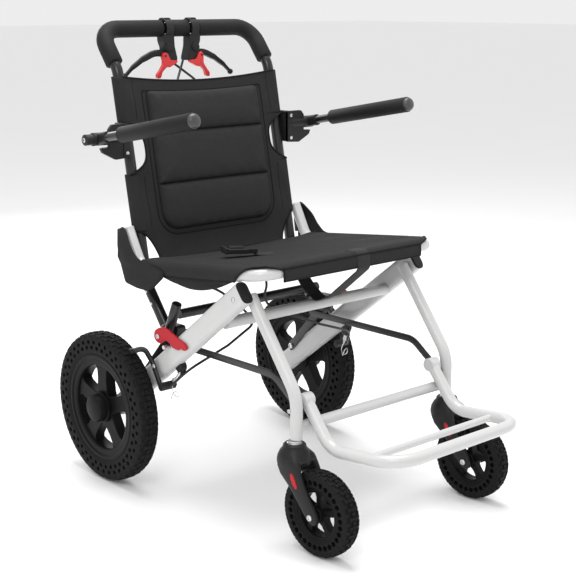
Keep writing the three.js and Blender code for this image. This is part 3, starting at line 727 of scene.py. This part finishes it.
def tyre(radius, rim, width, bands, count, block):
    """Verts and faces of a solid tyre, with holes in its side walls and raised tread blocks."""
    pile = Pile()
    w = width / 2
    crown = bands[-1][1] + 1.5
    for side in (-1, 1):
        holed_side(pile, side, w, (rim, 0.8 * w), (crown, w * 0.985), bands, count)
    half = math.pi / count
    rows = [(crown, 0.985 * w), (radius - 0.11 * width, 0.93 * w),
        (radius - 0.02 * width - 1, 0.62 * w), (radius - 1.3, 0.22 * w)]
    rows += [(r, -x) for r, x in reversed(rows)]
    for i in range(len(rows) - 1):
        (r0, x0), (r1, x1) = rows[i], rows[i + 1]
        for k in range(2 * count):
            lift = block if i == 3 or (k + i) % 2 == 0 else 0
            a0, a1 = k * half, (k + 1) * half
            inset = 0.12 * half
            ring = [(x0, r0, a0), (x1, r1, a0), (x1, r1, a1), (x0, r0, a1)]
            verts = [(x, r * math.cos(a), r * math.sin(a)) for x, r, a in ring]
            if lift:
                xm, rm = (x0 + x1) / 2, (r0 + r1) / 2
                out = []
                for (x, r, a), turn in zip(ring, (inset, inset, -inset, -inset)):
                    x2, r2 = x + (xm - x) * 0.14, r + (rm - r) * 0.14
                    r2 += lift if i in (2, 3, 4) else lift * 0.8
                    out.append((x2, r2 * math.cos(a + turn), r2 * math.sin(a + turn)))
                verts += out
                faces = [[0, 1, 5, 4], [1, 2, 6, 5], [2, 3, 7, 6], [3, 0, 4, 7], [4, 5, 6, 7]]
            else:
                faces = [[0, 1, 2, 3]]
            pile.add(verts, faces)
    bead = [(rim, -0.8 * w), (rim, 0.8 * w)]
    verts, faces = [], []
    for k in range(2 * count):
        for r, x in bead:
            verts.append((x, r * math.cos(k * half), r * math.sin(k * half)))
        nxt = (k + 1) % (2 * count)
        faces.append([2 * k, 2 * nxt, 2 * nxt + 1, 2 * k + 1])
    return pile.add(verts, faces)


def spoke(outline, depth, turn):
    """A spoke's plate, drawn along +Z as (half width, distance), with depth along X."""
    points = [(-a, r) for a, r in outline] + [(a, r) for a, r in reversed(outline)]
    verts, faces = slab(points, -depth, depth)
    spin = Matrix.Rotation(turn, 3, "X")
    return [spin @ Vector(v) for v in verts], faces


def moved(pile, move):
    return Pile().add(pile.verts, pile.faces, move)


def make_rear_wheels():
    for word, side in SIDES:
        move = Matrix.Translation((side * WHEEL_X, WHEEL_Y, WHEEL_R))
        bands = [(114.4, 125.4, 4.5, 0), (125.4, 136.4, 4.5, 1)]
        body = tyre(WHEEL_R - 2.2, 105, 41, bands, 42, 2.6)
        moved(body, move).object(f"solid_tyre_{word}", "tyre", f"rear_wheel_{word}",
            replaces=[f"rear_tyre_{word}"], sharp=30)
        lip = [(85, -15), (87, -16), (97, -16), (100, -18.5), (106, -18.5), (106.5, -17), (106.5, 17),
            (106, 18.5), (100, 18.5), (97, 16), (87, 16), (85, 15), (84, 12), (84, -12), (85, -15)]
        rim = Pile().add(*lathe(lip, 72))
        hub = [(0, -20), (24, -20), (27, -17), (27, 14), (0, 14)]
        rim.add(*lathe([(r, -side * x) for r, x in hub], 36))
        for k in range(5):
            web = [(21, 20), (17, 34), (15, 56), (16, 72), (23, 84), (28, 88.5)]
            rim.add(*spoke(web, 11, 2 * math.pi * k / 5))
        moved(rim, move).object(f"spoked_rim_{word}", "wheel", f"rear_wheel_{word}",
            replaces=[f"rear_rim_{word}"], bevel=2.2)
        cap = [(0, 35), (20, 34.4), (25, 32.5), (27, 29.5), (28, 18), (31, 17), (31, 12), (0, 12)]
        moved(Pile().add(*lathe([(r, side * x) for r, x in cap], 40)), move).object(f"hub_cap_{word}",
            "wheel", f"rear_wheel_{word}", sharp=30)
        axle = [(0, side * (OUTER_FACE + 0.3)), (6, side * (OUTER_FACE + 0.3)), (6, side * 250),
            (0, side * 250)]
        collar = [(6.2, side * (OUTER_FACE + 0.4)), (11, side * (OUTER_FACE + 0.4)), (11, side * 236),
            (6.2, side * 236)]
        Pile().add(*lathe(axle, 20, "x", (0, WHEEL_Y, WHEEL_R))).add(*lathe(collar + collar[:1], 20,
            "x", (0, WHEEL_Y, WHEEL_R))).object(f"axle_{word}", "steel", "frame",
            replaces=[f"rear_axle_{word}"])


def fork_blade(flank):
    """A blade that swells into the bell: its sections lie across the line from the stem to the hub."""
    # Each section: x, y, z, half width, half thickness
    stations = [(13, 1, 172, 17, 12), (17, -3, 160, 25, 13.5), (20, -9, 150, 24.5, 10.5),
        (22, -15, 143, 22, 8), (23.2, -22, 134, 19.5, 6.2), (23.6, -33, 119, 16, 5.6),
        (23.8, -47, 99.5, 13.8, 5.4), (23.8, -58, 85, 13.2, 5.3), (23.8, -66, 74.5, 12, 5.2),
        (23.8, -71, 68, 7.5, 5), (23.8, -73, 65, 2.5, 4.5)]
    sides = 28
    verts, faces = [], []
    for i, (x, y, z, wide, thick) in enumerate(stations):
        before, after = stations[max(0, i - 1)], stations[min(len(stations) - 1, i + 1)]
        run = Vector((after[1] - before[1], after[2] - before[2])).normalized()
        for k in range(sides):
            turn = 2 * math.pi * k / sides
            c, s = math.cos(turn), math.sin(turn)
            out = thick * math.copysign(abs(c) ** 0.7, c)
            over = wide * math.copysign(abs(s) ** 0.8, s)
            verts.append((flank * (x + out), y - run.y * over, z + run.x * over))
        if i:
            base = (i - 1) * sides
            for k in range(sides):
                nxt = (k + 1) % sides
                faces.append([base + k, base + nxt, base + sides + nxt, base + sides + k])
    faces.append(list(range(sides)))
    faces.append([len(verts) - sides + k for k in range(sides)])
    return verts, faces


def make_casters():
    turn = Matrix.Rotation(math.radians(CASTER_TURN), 4, "Z")
    for word, side in SIDES:
        stand = Matrix.Translation((side * CASTER_X, CASTER_Y, 0)) @ turn
        hub_place = stand @ Matrix.Translation((0, -CASTER_TRAIL, CASTER_R))
        bands = [(51.5, 64, 5.1, 0)]
        body = tyre(CASTER_R - 2.0, 47, 33, bands, 30, 2.6)
        moved(body, hub_place).object(f"caster_solid_tyre_{word}", "tyre", f"caster_wheel_{word}",
            replaces=[f"caster_tyre_{word}"], sharp=30)
        lip = [(39, -11), (41, -12), (44, -12), (45, -14), (48, -14), (48, 14), (45, 14), (44, 12),
            (41, 12), (39, 11), (39, -11)]
        rim = Pile().add(*lathe(lip, 60)).add(*lathe([(5.5, -15.5), (13, -15.5), (14, -13), (14, 13),
            (13, 15.5), (5.5, 15.5), (5.5, -15.5)], 28))
        for k in range(5):
            rim.add(*spoke([(8, 11), (5, 20), (5, 30), (9, 40)], 8, 2 * math.pi * k / 5))
        moved(rim, hub_place).object(f"caster_spokes_{word}", "wheel", f"caster_wheel_{word}",
            replaces=[f"caster_rim_{word}"], bevel=1.2)

        # The fork: a moulded bell under the stem that runs down into two blades.
        bell = [(0, 188), (17.5, 188), (20, 186), (21, 181), (25.5, 176), (29.5, 168), (31, 160),
            (30.5, 153), (28, 147.5), (22, 145), (0, 145)]
        shell = Pile().add(*lathe(bell, 36, "z"), stand)
        for flank in (-1, 1):
            shell.add(*fork_blade(flank), stand)
        bridge = smooth_outline([(20, 156), (20, 172), (-20, 172), (-33, 160), (-10, 155)], 4)
        shell.add(*slab(bridge, -20, 20), stand)
        shell.object(f"fork_shell_{word}", "plastic", f"caster_fork_{word}",
            replaces=[f"caster_fork_{word}"], bevel=3.6)
        rings = Pile().add(*lathe([(0, 186.5), (13.5, 186.5), (13.5, 188.5), (11, 189.5), (11, 192.6),
            (0, 192.6)], 28, "z"))
        for flank in (-1, 1):
            rings.add(*bolt((flank * 29, -CASTER_TRAIL, CASTER_R), flank, 5.6, 3.4))
        rings.add(*disc(4, -18.5, 18.5, 12, "x", (0, -CASTER_TRAIL, CASTER_R)))
        moved(rings, stand).object(f"caster_hardware_{word}", "steel", f"caster_fork_{word}")
        inlay = smooth_outline([(-17, 146), (-25, 144), (-36, 122), (-29, 119), (-20, 131)], 7)
        marks = Pile()
        for flank in (-1, 1):
            marks.add(*slab(inlay, flank * 28, flank * 30.2))
        moved(marks, stand).object(f"fork_inlay_{word}", "dark_red", f"caster_fork_{word}", bevel=0.5)


# ---- Rear brakes ----------------------------------------------------------------------------
def make_brakes():
    mid = OUTER_FACE + 9.6
    for word, side in SIDES:
        corners = [(side * x, y, z) for x, y, z in ((mid, 112, 214), (mid, 140, 262), (mid, 166, 285),
            (mid + 20, 179.5, 279.3))]
        bar = smooth_outline([(-3.2, -5.2), (3.2, -5.2), (3.2, 5.2), (-3.2, 5.2)], 2.5, 3)
        arm = Pile().add(*sweep(bar, bent_path(corners, 14, 6)))
        shoe = (side * (mid + 20), 179.5, 279.3)
        arm.add(*disc(6, -5, 5, 16, "x", shoe))
        arm.object(f"brake_bar_{word}", "gloss", f"brake_arm_{word}", replaces=[f"brake_arm_{word}"],
            bevel=0.8)
        put(bolt((side * (mid + 3), 132, 257), side, 4.4, 2.4), f"brake_rivet_{word}", "steel",
            f"brake_arm_{word}")

        # The cable stop under the beam, the adjuster, and the wire's clamp at the arm's foot.
        x = side * (BEAM_X - 2)
        stop = Pile().add(*disc(10, -7, 7, 18, "x", (x, 83, 262)))
        stop.add(*slab(smooth_outline([(70, 262), (84, 275), (92, 268), (90, 246), (78, 244)], 4),
            x - 4, x + 4))
        stop.add(*slab(smooth_outline([(102, 222), (112, 230), (118, 218), (108, 212)], 3),
            x - side * 5, x + side * 30))
        stop.object(f"cable_stop_{word}", "plastic", "frame", bevel=0.8)
        silver = Pile().add(*tube([(x, 82, 252), (x + side * 6, 94, 232)], 4.2, sides=10))
        silver.add(*tube([(x + side * 2, 89, 241), (x + side * 9, 99, 224)], 2.4, sides=8))
        silver.add(*bolt((x + side * 6, 94, 234), side, 5.5, 5))
        wire = [(x + side * 9, 99, 224), (x + side * 6, 104, 210), (x + side * 3, 97, 199),
            (x + side * 5, 84, 203), (x + side * 8, 88, 216), (x + side * 10, 97, 208),
            (x + side * 10, 104, 194)]
        silver.add(*tube(wire, 0.9, 7, sides=6))
        silver.object(f"cable_adjuster_{word}", "steel", "frame")


def path_length(points):
    return sum((Vector(b) - Vector(a)).length for a, b in zip(points, points[1:])) / 1000


UNDER_SEAT = {"right": [(-150, 238, 410), (-140, 190, 402), (-100, 126, 388), (-60, 118, 359),
    (-42, 90, 330)], "left": [(60, 240, 410), (24, 190, 402), (0, 80, 400), (0, 100, 352),
    (24, 78, 326)]}


def make_cables():
    """Each brake cable, in two pieces that meet where it passes from the backrest to the frame."""
    for word, side in SIDES:
        back = 0 if side > 0 else 7
        upper = [(side * 15, HANDLE_TOP[0] + 4 + back, HANDLE_TOP[1] - 64),
            (-side * 30, 330 + back, 768), (-side * 40, 296 + back, 650), (side * 70, 268 + back, 520),
            *UNDER_SEAT[word][:2]]
        lower = UNDER_SEAT[word][1:] + [(side * 52, 66, 319), (side * 120, 61, 290),
            (side * (BEAM_X - 6), 66, 258), (side * (BEAM_X + 13), 98, 222)]
        for name, corners, body in (("upper", upper, "backrest"), ("lower", lower, "frame")):
            stations = bent_path(corners, 45, 10)
            piece = put(sweep(ring_section(CABLE_R, 12), stations), f"cable_{name}_{word}", "cable",
                body, replaces=[f"brake_cable_{word}"], sharp=60)


# ---- Cloth ----------------------------------------------------------------------------------
def look_up(table, key):
    for (k0, v0), (k1, v1) in zip(table, table[1:]):
        if key <= k1:
            share = max(0.0, (key - k0) / (k1 - k0))
            return v0 + share * (v1 - v0)
    return table[-1][1]


def cloth(name, rows, material, body, thick, **more):
    """A sheet from rows of points, every row with as many points as the others."""
    wide = len(rows[0])
    verts = [p for row in rows for p in row]
    faces = []
    for i in range(len(rows) - 1):
        for k in range(wide - 1):
            base = i * wide + k
            faces.append([base, base + 1, base + wide + 1, base + wide])
    piece = build(name, verts, faces, material, body, sharp=80, **more)
    area = sum(face.area for face in piece.data.polygons)
    shell = piece.modifiers.new("shell", "SOLIDIFY")
    shell.thickness = thick / 1000
    shell.offset = 0
    return piece, area


def edge_stations(points):
    points = [Vector(p) for p in points]
    out = []
    for i, place in enumerate(points):
        before, after = points[max(0, i - 1)], points[min(len(points) - 1, i + 1)]
        out.append((place, (after - before).normalized()))
    return out


def trim(name, points, radius, body, sides=8):
    """A bound or corded edge along a line of points."""
    first = (Vector(points[1]) - Vector(points[0])).normalized()
    across = (1, 0, 0) if abs(first.x) < 0.8 else (0, 0, 1)
    return put(sweep(ring_section(radius, sides), edge_stations(points), across), name, "binding", body,
        sharp=70)


SLEEVE_R = 13.4  # the cloth's middle line round a tube
BACK_TOP, BACK_FOOT_Z = 788, 434
BACK_FULL = BACK_X + SLEEVE_R * math.radians(165)
BACK_CUT = ((434, 157), (447, 160), (462, 166), (476, 174), (487, 183), (494, 193), (499, BACK_FULL))
CRESCENT = (652, 50)  # its middle height and half height


def back_half_width(z):
    width = look_up(BACK_CUT, z)
    off = abs(z - CRESCENT[0]) / CRESCENT[1]
    if off < 1:
        width = min(width, 158 + (BACK_X + 16 - 158) * off**3)
    return width


def back_point(a, z, lift=0.0):
    """A point of the seat-back cloth: `a` is the distance out from the middle, along the cloth."""
    side, reach = (1 if a >= 0 else -1), abs(a)
    y = back_line(z)
    radius = SLEEVE_R + lift
    if reach <= BACK_X:
        bow = 6 * (1 - (reach / BACK_X) ** 2)
        fold = 1.9 * step(reach, 150, 172) * step(BACK_X - reach, 0, 12) * math.sin((z + 0.7 * a) / 17)
        drop = 13 * (1 - (reach / BACK_X) ** 2) * ((z - BACK_FOOT_Z) / (BACK_TOP - BACK_FOOT_Z)) ** 6
        return (a, y - radius + bow + fold, z - drop)
    turn = (reach - BACK_X) / SLEEVE_R
    return (side * (BACK_X + radius * math.sin(turn)), y - radius * math.cos(turn), z)


def make_back_cloth():
    marks = set(range(BACK_FOOT_Z, BACK_TOP, 5)) | set(range(600, 612, 2)) | set(range(692, 704, 2))
    marks |= {490, 493, 496, 498, 500, BACK_TOP}
    heights = sorted(marks)
    rows = []
    for z in heights:
        half = back_half_width(z)
        rows.append([back_point(half * k / 40, z) for k in range(-40, 41)])
    back, area = cloth("back_cloth", rows, "fabric", "backrest", 2.2, replaces=["back_fabric"])
    for word, side in SIDES:
        line = [back_point(side * back_half_width(z), z, 0.6) for z in heights if z <= 500]
        trim(f"back_low_edge_{word}", line, 2.0, "backrest")
        line = [back_point(side * back_half_width(z), z, 0.6) for z in heights if 603 <= z <= 701]
        trim(f"crescent_edge_{word}", line, 2.2, "backrest")
    top = [back_point(a, BACK_TOP, 0.4) for a in range(-190, 191, 10)]
    trim("back_top_edge", top, 1.9, "backrest")
    for word, side in SIDES:
        for name, low, high in (("low", 502, 599), ("high", 705, 786)):
            line = [back_point(side * 170, z, 0.9) for z in heights if low <= z <= high]
            trim(f"sleeve_seam_{name}_{word}", line, 0.8, "backrest", sides=6)


PAD_X, PAD_LOW, PAD_HIGH, PAD_CORNER = 139, 492, 764, 36
PAD_SEAMS = (581, 681)


def pad_half_width(z, grow=0.0):
    corner = PAD_CORNER + grow
    low, high = PAD_LOW - grow, PAD_HIGH + 0.3 * grow
    half = PAD_X + grow
    if z < low + corner:
        half -= corner - math.sqrt(max(0.0, corner**2 - (low + corner - z) ** 2))
    if z > high - 10:
        half -= 10 - math.sqrt(max(0.0, 100 - (z - high + 10) ** 2))
    return half


def pad_puff(x, z):
    """How far the pad stands out: three stuffed sections, their seams and small puckers."""
    side = pad_half_width(z) - abs(x)
    bounds = (PAD_LOW, *PAD_SEAMS, PAD_HIGH)
    seam = min(abs(z - mark) for mark in bounds)
    if z < PAD_LOW + PAD_CORNER and abs(x) > PAD_X - PAD_CORNER:
        corner = PAD_CORNER - math.hypot(abs(x) - PAD_X + PAD_CORNER, PAD_LOW + PAD_CORNER - z)
        seam = min(seam, max(0.0, corner))
    near = max(0.0, min(side, seam))
    rise = 7.5 * (1 - math.exp(-near / 2.6)) + 6.5 * (1 - math.exp(-near / 17))
    pucker = 0.7 * math.exp(-((seam - 5) / 6) ** 2) * math.sin(x / 5.2 + 1.7 * math.sin(
        x / 23 + z / 40))
    pucker += 0.5 * math.exp(-((side - 6) / 7) ** 2) * math.sin(z / 6.1 + 1.3 * math.sin(z / 19))
    broad = 0.7 * math.sin(x / 37 + z / 29) * math.sin(z / 41 - x / 53) * step(near, 8, 30)
    return max(0.0, rise + min(1.0, near / 5) * (pucker + broad))


def make_pad():
    marks = set(range(PAD_LOW, PAD_HIGH, 4)) | {PAD_HIGH}
    for mark in (PAD_LOW, *PAD_SEAMS, PAD_HIGH):
        marks |= {z for z in range(mark - 8, mark + 9, 2) if PAD_LOW <= z <= PAD_HIGH}
    heights = sorted(marks)
    columns = 64
    front, rear = [], []
    for z in heights:
        half = pad_half_width(z)
        for k in range(-columns, columns + 1):
            share = math.sin(math.pi / 2 * k / columns)
            x, y, height = back_point(half * share, z)
            front.append((x, y - 1.2 - pad_puff(x, z), height))
            rear.append((x, y - 0.4, height))
    wide = 2 * columns + 1
    verts = front + rear
    faces = []
    for i in range(len(heights) - 1):
        for k in range(wide - 1):
            base = i * wide + k
            quad = [base, base + 1, base + wide + 1, base + wide]
            faces += [quad, [len(front) + q for q in reversed(quad)]]
    ring = list(range(wide))
    ring += [i * wide + wide - 1 for i in range(1, len(heights))]
    ring += [(len(heights) - 1) * wide + k for k in range(wide - 2, -1, -1)]
    ring += [i * wide for i in range(len(heights) - 2, 0, -1)]
    for a, b in zip(ring, ring[1:] + ring[:1]):
        faces.append([a, b, len(front) + b, len(front) + a])
    pad = build("back_pad", verts, faces, "pad", "backrest", sharp=80)
    for number, mark in enumerate(PAD_SEAMS):
        half = pad_half_width(mark) - 1
        line = [back_point(half * k / 30, mark) for k in range(-30, 31)]
        line = [(x, y - 1.8, z) for x, y, z in line]
        trim(f"pad_seam_{number}", line, 1.0, "backrest", sides=6)
    low, high = PAD_LOW - 11, PAD_HIGH + 3
    for name, grow, radius in (("inner", 1.0, 1.4), ("outer", 11, 1.5)):
        points = []
        steps = sorted(set([low + (11 - grow) + d for d in (0.2, 1, 2, 4, 7, 11, 16, 22, 30, 38,
            48)] + list(range(PAD_LOW + 52, PAD_HIGH - 12, 12)) + [high - 12, high - 8, high - 5,
            high - 3]))
        for z in steps:
            points.append((pad_half_width(z, grow), z))
        line = [(-a, z) for a, z in reversed(points)]
        span, crown = points[0][0], points[-1]
        line += [(a, points[0][1] - 0.3) for a in range(-int(span) + 6, int(span) - 5, 12)]
        line += points
        line += [(a, crown[1] + 0.4) for a in range(int(crown[0]) - 6, -int(crown[0]) + 5, -12)]
        line.append(line[0])
        places = [back_point(a, z, 0.8) for a, z in line]
        trim(f"pad_border_{name}", places, radius, "backrest")


SEAT_R = 13.6
SEAT_FULL = SEAT_X + SEAT_R * math.radians(150)
SEAT_BACK_EDGE = 196
SEAT_CUT = ((-146, 200), (-136, 211), (-123, 221), (-112, 231), (-100, 241), (-88, SEAT_FULL))
FLAP_HALF = 172


def seat_point(a, run, lift=0.0):
    """A point of the seat cloth: `run` is along Y, then down the front tube's face."""
    side, reach = (1 if a >= 0 else -1), abs(a)
    radius = SEAT_R + lift
    if run < SEAT_FRONT[0]:
        past = SEAT_FRONT[0] - run
        quarter = SEAT_R * math.pi / 2
        if past < quarter:
            turn = past / SEAT_R
            return (a, SEAT_FRONT[0] - radius * math.sin(turn), SEAT_FRONT[1] + radius * math.cos(turn))
        return (a, SEAT_FRONT[0] - radius, SEAT_FRONT[1] - (past - quarter))
    z = seat_line(run)
    if reach <= SEAT_X:
        inward = 1 - (reach / SEAT_X) ** 2
        sag = 8 * inward * step(run, SEAT_FRONT[0], -60)
        ripple = 1.6 * step(reach, 120, 175) * step(SEAT_X - reach, 0, 25) * math.sin(run / 15 + a / 40)
        return (a, run, z + radius - sag + ripple * step(run, -130, -90))
    turn = (reach - SEAT_X) / SEAT_R
    return (side * (SEAT_X + radius * math.sin(turn)), run, z + radius * math.cos(turn))


def seat_half_width(run):
    if run < SEAT_FRONT[0]:
        return FLAP_HALF + (SEAT_CUT[0][1] - FLAP_HALF) * (1 - step(SEAT_FRONT[0] - run, 2, 17))
    return look_up(SEAT_CUT, run)


def make_seat_cloth():
    quarter = SEAT_R * math.pi / 2
    runs = [SEAT_FRONT[0] - quarter - drop for drop in (14, 10, 5, 0)]
    runs += [SEAT_FRONT[0] - quarter * k / 6 for k in range(5, 0, -1)]
    runs += [-146, -141, -136, -129, -123, -117, -112, -105, -98, -92, -86]
    runs += list(range(-78, SEAT_BACK_EDGE, 8)) + [SEAT_BACK_EDGE]
    rows = [[seat_point(seat_half_width(run) * k / 44, run) for k in range(-44, 45)] for run in runs]
    seat, area = cloth("seat_cloth", rows, "fabric", "frame", 2.4, replaces=["seat_fabric"])
    for word, side in SIDES:
        line = [seat_point(side * seat_half_width(run), run, 0.6) for run in runs if run <= -86]
        trim(f"seat_corner_edge_{word}", line, 1.8, "frame")
        line = [seat_point(side * SEAT_FULL, run, 0.3) for run in runs if run >= -86]
        trim(f"seat_rail_edge_{word}", line, 1.6, "frame")
        line = [seat_point(side * 199, run, 0.5) for run in runs if run >= -110]
        trim(f"seat_seam_{word}", line, 0.9, "frame", sides=6)
    crest = SEAT_FRONT[0] - quarter * 0.62
    trim("seat_piping", [seat_point(a, crest, 1.0) for a in range(-172, 173, 8)], 2.2,
        "frame")
    hem = SEAT_FRONT[0] - quarter - 14
    trim("flap_hem", [seat_point(a, hem, 0.2) for a in range(-172, 173, 8)], 1.6, "frame")

    for word, side in SIDES:
        # The lower layer of cloth, which droops beneath the rail.
        rows = []
        for y in range(-88, 177, 8):
            depth = 29 * max(0.0, 1 - ((y - 55) / 108) ** 2)
            under = seat_line(y) - 11.6
            rows.append([(side * x, y, under + rise - depth * drop) for x, rise,
                drop in ((215, 0, 0), (212, -1, 0.35), (206, -1, 0.7), (197, 0, 0.95), (186, 1, 1.0),
                (172, 2, 0.9), (156, 5, 0.7), (138, 9, 0.45), (120, 12, 0.2), (104, 14, 0.0))])
        belly, area = cloth(f"seat_belly_{word}", rows, "fabric", "frame", 2.0)

        # The gusset that joins the seat's rear corner to the white riser.
        outline = smooth_outline([(y, z) for y,
            z in ((242, 509), (252, 503), (253, 443), (240, 400), (202, 395), (166, 395), (148, 403),
            (116, 428), (110, 440), (150, 448), (180, 453), (198, 466), (214, 486), (230, 502))], 7)
        middle = Vector((206, 428))
        rows = []
        for share in (1, 0.86, 0.7, 0.5, 0.3, 0.12, 0):
            ring = [middle.lerp(Vector(p), share) for p in outline]
            bulge = 5 * (1 - share**2)
            rows.append([(side * (SEAT_X + TUBE_R + 2 + bulge + 9 * step(p.y, 425,
                462) * step(512 - p.y, 0, 34)), p.x, p.y) for p in ring])
            rows[-1].append(rows[-1][0])
        gusset, area = cloth(f"gusset_{word}", rows, "fabric", "frame", 2.2,
            replaces=[f"side_guard_{word}"])
        clip = smooth_outline([(244, 506), (256, 503), (258, 470), (254, 442), (246, 444), (244, 474)],
            3)
        put(slab(clip, side * (SEAT_X + 8), side * (SEAT_X + 18)), f"gusset_clip_{word}", "plastic",
            "frame", bevel=1.5)
        cap = [(side * SEAT_X, 241, 497), (side * SEAT_X, 246.2, 506)]
        put(round_end(cap, 11.6, dome=0.3), f"riser_cap_{word}", "white", "frame", sharp=50)


STRAP_THICK = 1.8
BUCKLE_TURN = 0.35  # radians, about Z


def strap(name, path, half, body, bend=12, across=(1, 0, 0)):
    section = smooth_outline([(-half, -STRAP_THICK / 2), (half, -STRAP_THICK / 2),
        (half, STRAP_THICK / 2), (-half, STRAP_THICK / 2)], 0.8, 2)
    stations = bent_path(path, bend, 8)
    return put(sweep(section, stations, across), name, "webbing", body,
        sharp=50), path_length([p for p, _ in stations])


def make_straps():
    x = 20
    face = SEAT_FRONT[0] - SEAT_R - 2.2
    path = [(x, -128, seat_line(-128) + SEAT_R + 1.2), (x, face + 3, SEAT_FRONT[1] + SEAT_R + 1.5),
        (x, face, 459), (x, face + 4, 452), (x, -84, 392), (x, -48, 376), (x, -14, 396),
        (x, 30, seat_line(30) - 16)]
    loop, length = strap("pull_loop_webbing", path, 16, "frame")
    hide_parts("pull_loop")

    place = Matrix.Translation((-88, 56, seat_line(56) + SEAT_R + 8))
    place = place @ Matrix.Rotation(-BUCKLE_TURN, 4, "Z") @ Matrix.Rotation(0.06, 4, "Y")
    shell = smooth_outline([(-36, -13), (-30, -17), (4, -17), (10, -12), (24, -12), (30, -8), (30, 8),
        (24, 12), (10, 12), (4, 17), (-30, 17), (-36, 13)], 4)
    buckle = Pile().add(*slab(shell, -5, 4, "xy"), place)
    buckle.add(*slab(smooth_outline([(-28, -8), (2, -8), (2, 8), (-28, 8)], 3), 3.5, 7, "xy"), place)
    buckle.add(*slab(smooth_outline([(-38, -16), (-31, -16), (-31, 16), (-38, 16)], 3), -6, 6, "xy"),
        place)
    buckle.object("buckle_shell", "plastic", "frame", replaces=["belt_buckle"], bevel=1.4)

    def spot(a, b, lift):
        point = place @ Vector((a, b, 0))
        return (point.x, point.y, seat_point(point.x, point.y)[2] + lift)

    path = [spot(a, 0, lift) for a, lift in ((26, 4.5), (38, 3), (50, 2.4), (64, 2.4))]
    belt, length = strap("belt_end", path, 12, "frame", 20,
        across=(math.sin(BUCKLE_TURN), math.cos(BUCKLE_TURN), 0))


# ---- Small hardware ---------------------------------------------------------------------------
def make_hardware():
    for word, side in SIDES:
        screws = Pile().add(*bolt((side * OUTER_FACE, -92, 424), side, 4.6, 2.4))
        screws.add(*bolt((side * OUTER_FACE, *LATCH_PIN), side, 4, 3.5, False))
        screws.object(f"beam_screws_{word}", "steel", "frame")
        put(bolt((side * (LEG_X + TUBE_R - 0.6), -207.5, 244), side, 4, 2), f"leg_screw_{word}",
            "steel", "legs")
        lugs = Pile()
        for y, z in ((196, 360), (212, 381)):
            lugs.add(*bolt((side * (BACK_X + BACK_R - 0.8), y, z), side, 3, 1.8, False))
        lugs.object(f"back_screws_{word}", "steel", "backrest")
        feet = Pile().add(*lathe([(0, side * 151), (12.8, side * 151), (12.8, side * 173.5),
            (0, side * 174)], 22, "x", at(0, FOOT_PIVOT)))
        feet.object(f"foot_hinge_{word}", "white", "footrest", bevel=1.5)
        put(bolt((side * 174, *FOOT_PIVOT), side, 4.4, 2), f"foot_bolt_{word}", "steel", "footrest")


def dress_cad():
    materials = {slot: MATERIALS[material] for material, slot in reversed(SLOTS.items())}
    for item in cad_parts.values():
        if not item.hide_render:
            item.data.materials.clear()
            item.data.materials.append(materials.get(item.get("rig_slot"), MATERIALS["steel"]))


def make_floor():
    data = bpy.data.meshes.new("floor")
    data.from_pydata([(-40, -40, 0), (40, -40, 0), (40, 40, 0), (-40, 40, 0)], [], [(0, 1, 2, 3)])
    floor = bpy.data.objects.new("floor", data)
    data.materials.append(MATERIALS["floor"])
    SCENE.collection.objects.link(floor)


make_cables()
make_frame()
make_back_frame()
make_armrests()
make_brake_levers()
make_fold()
make_rear_wheels()
make_casters()
make_brakes()
make_back_cloth()
make_pad()
make_seat_cloth()
make_straps()
make_hardware()
dress_cad()
make_floor()
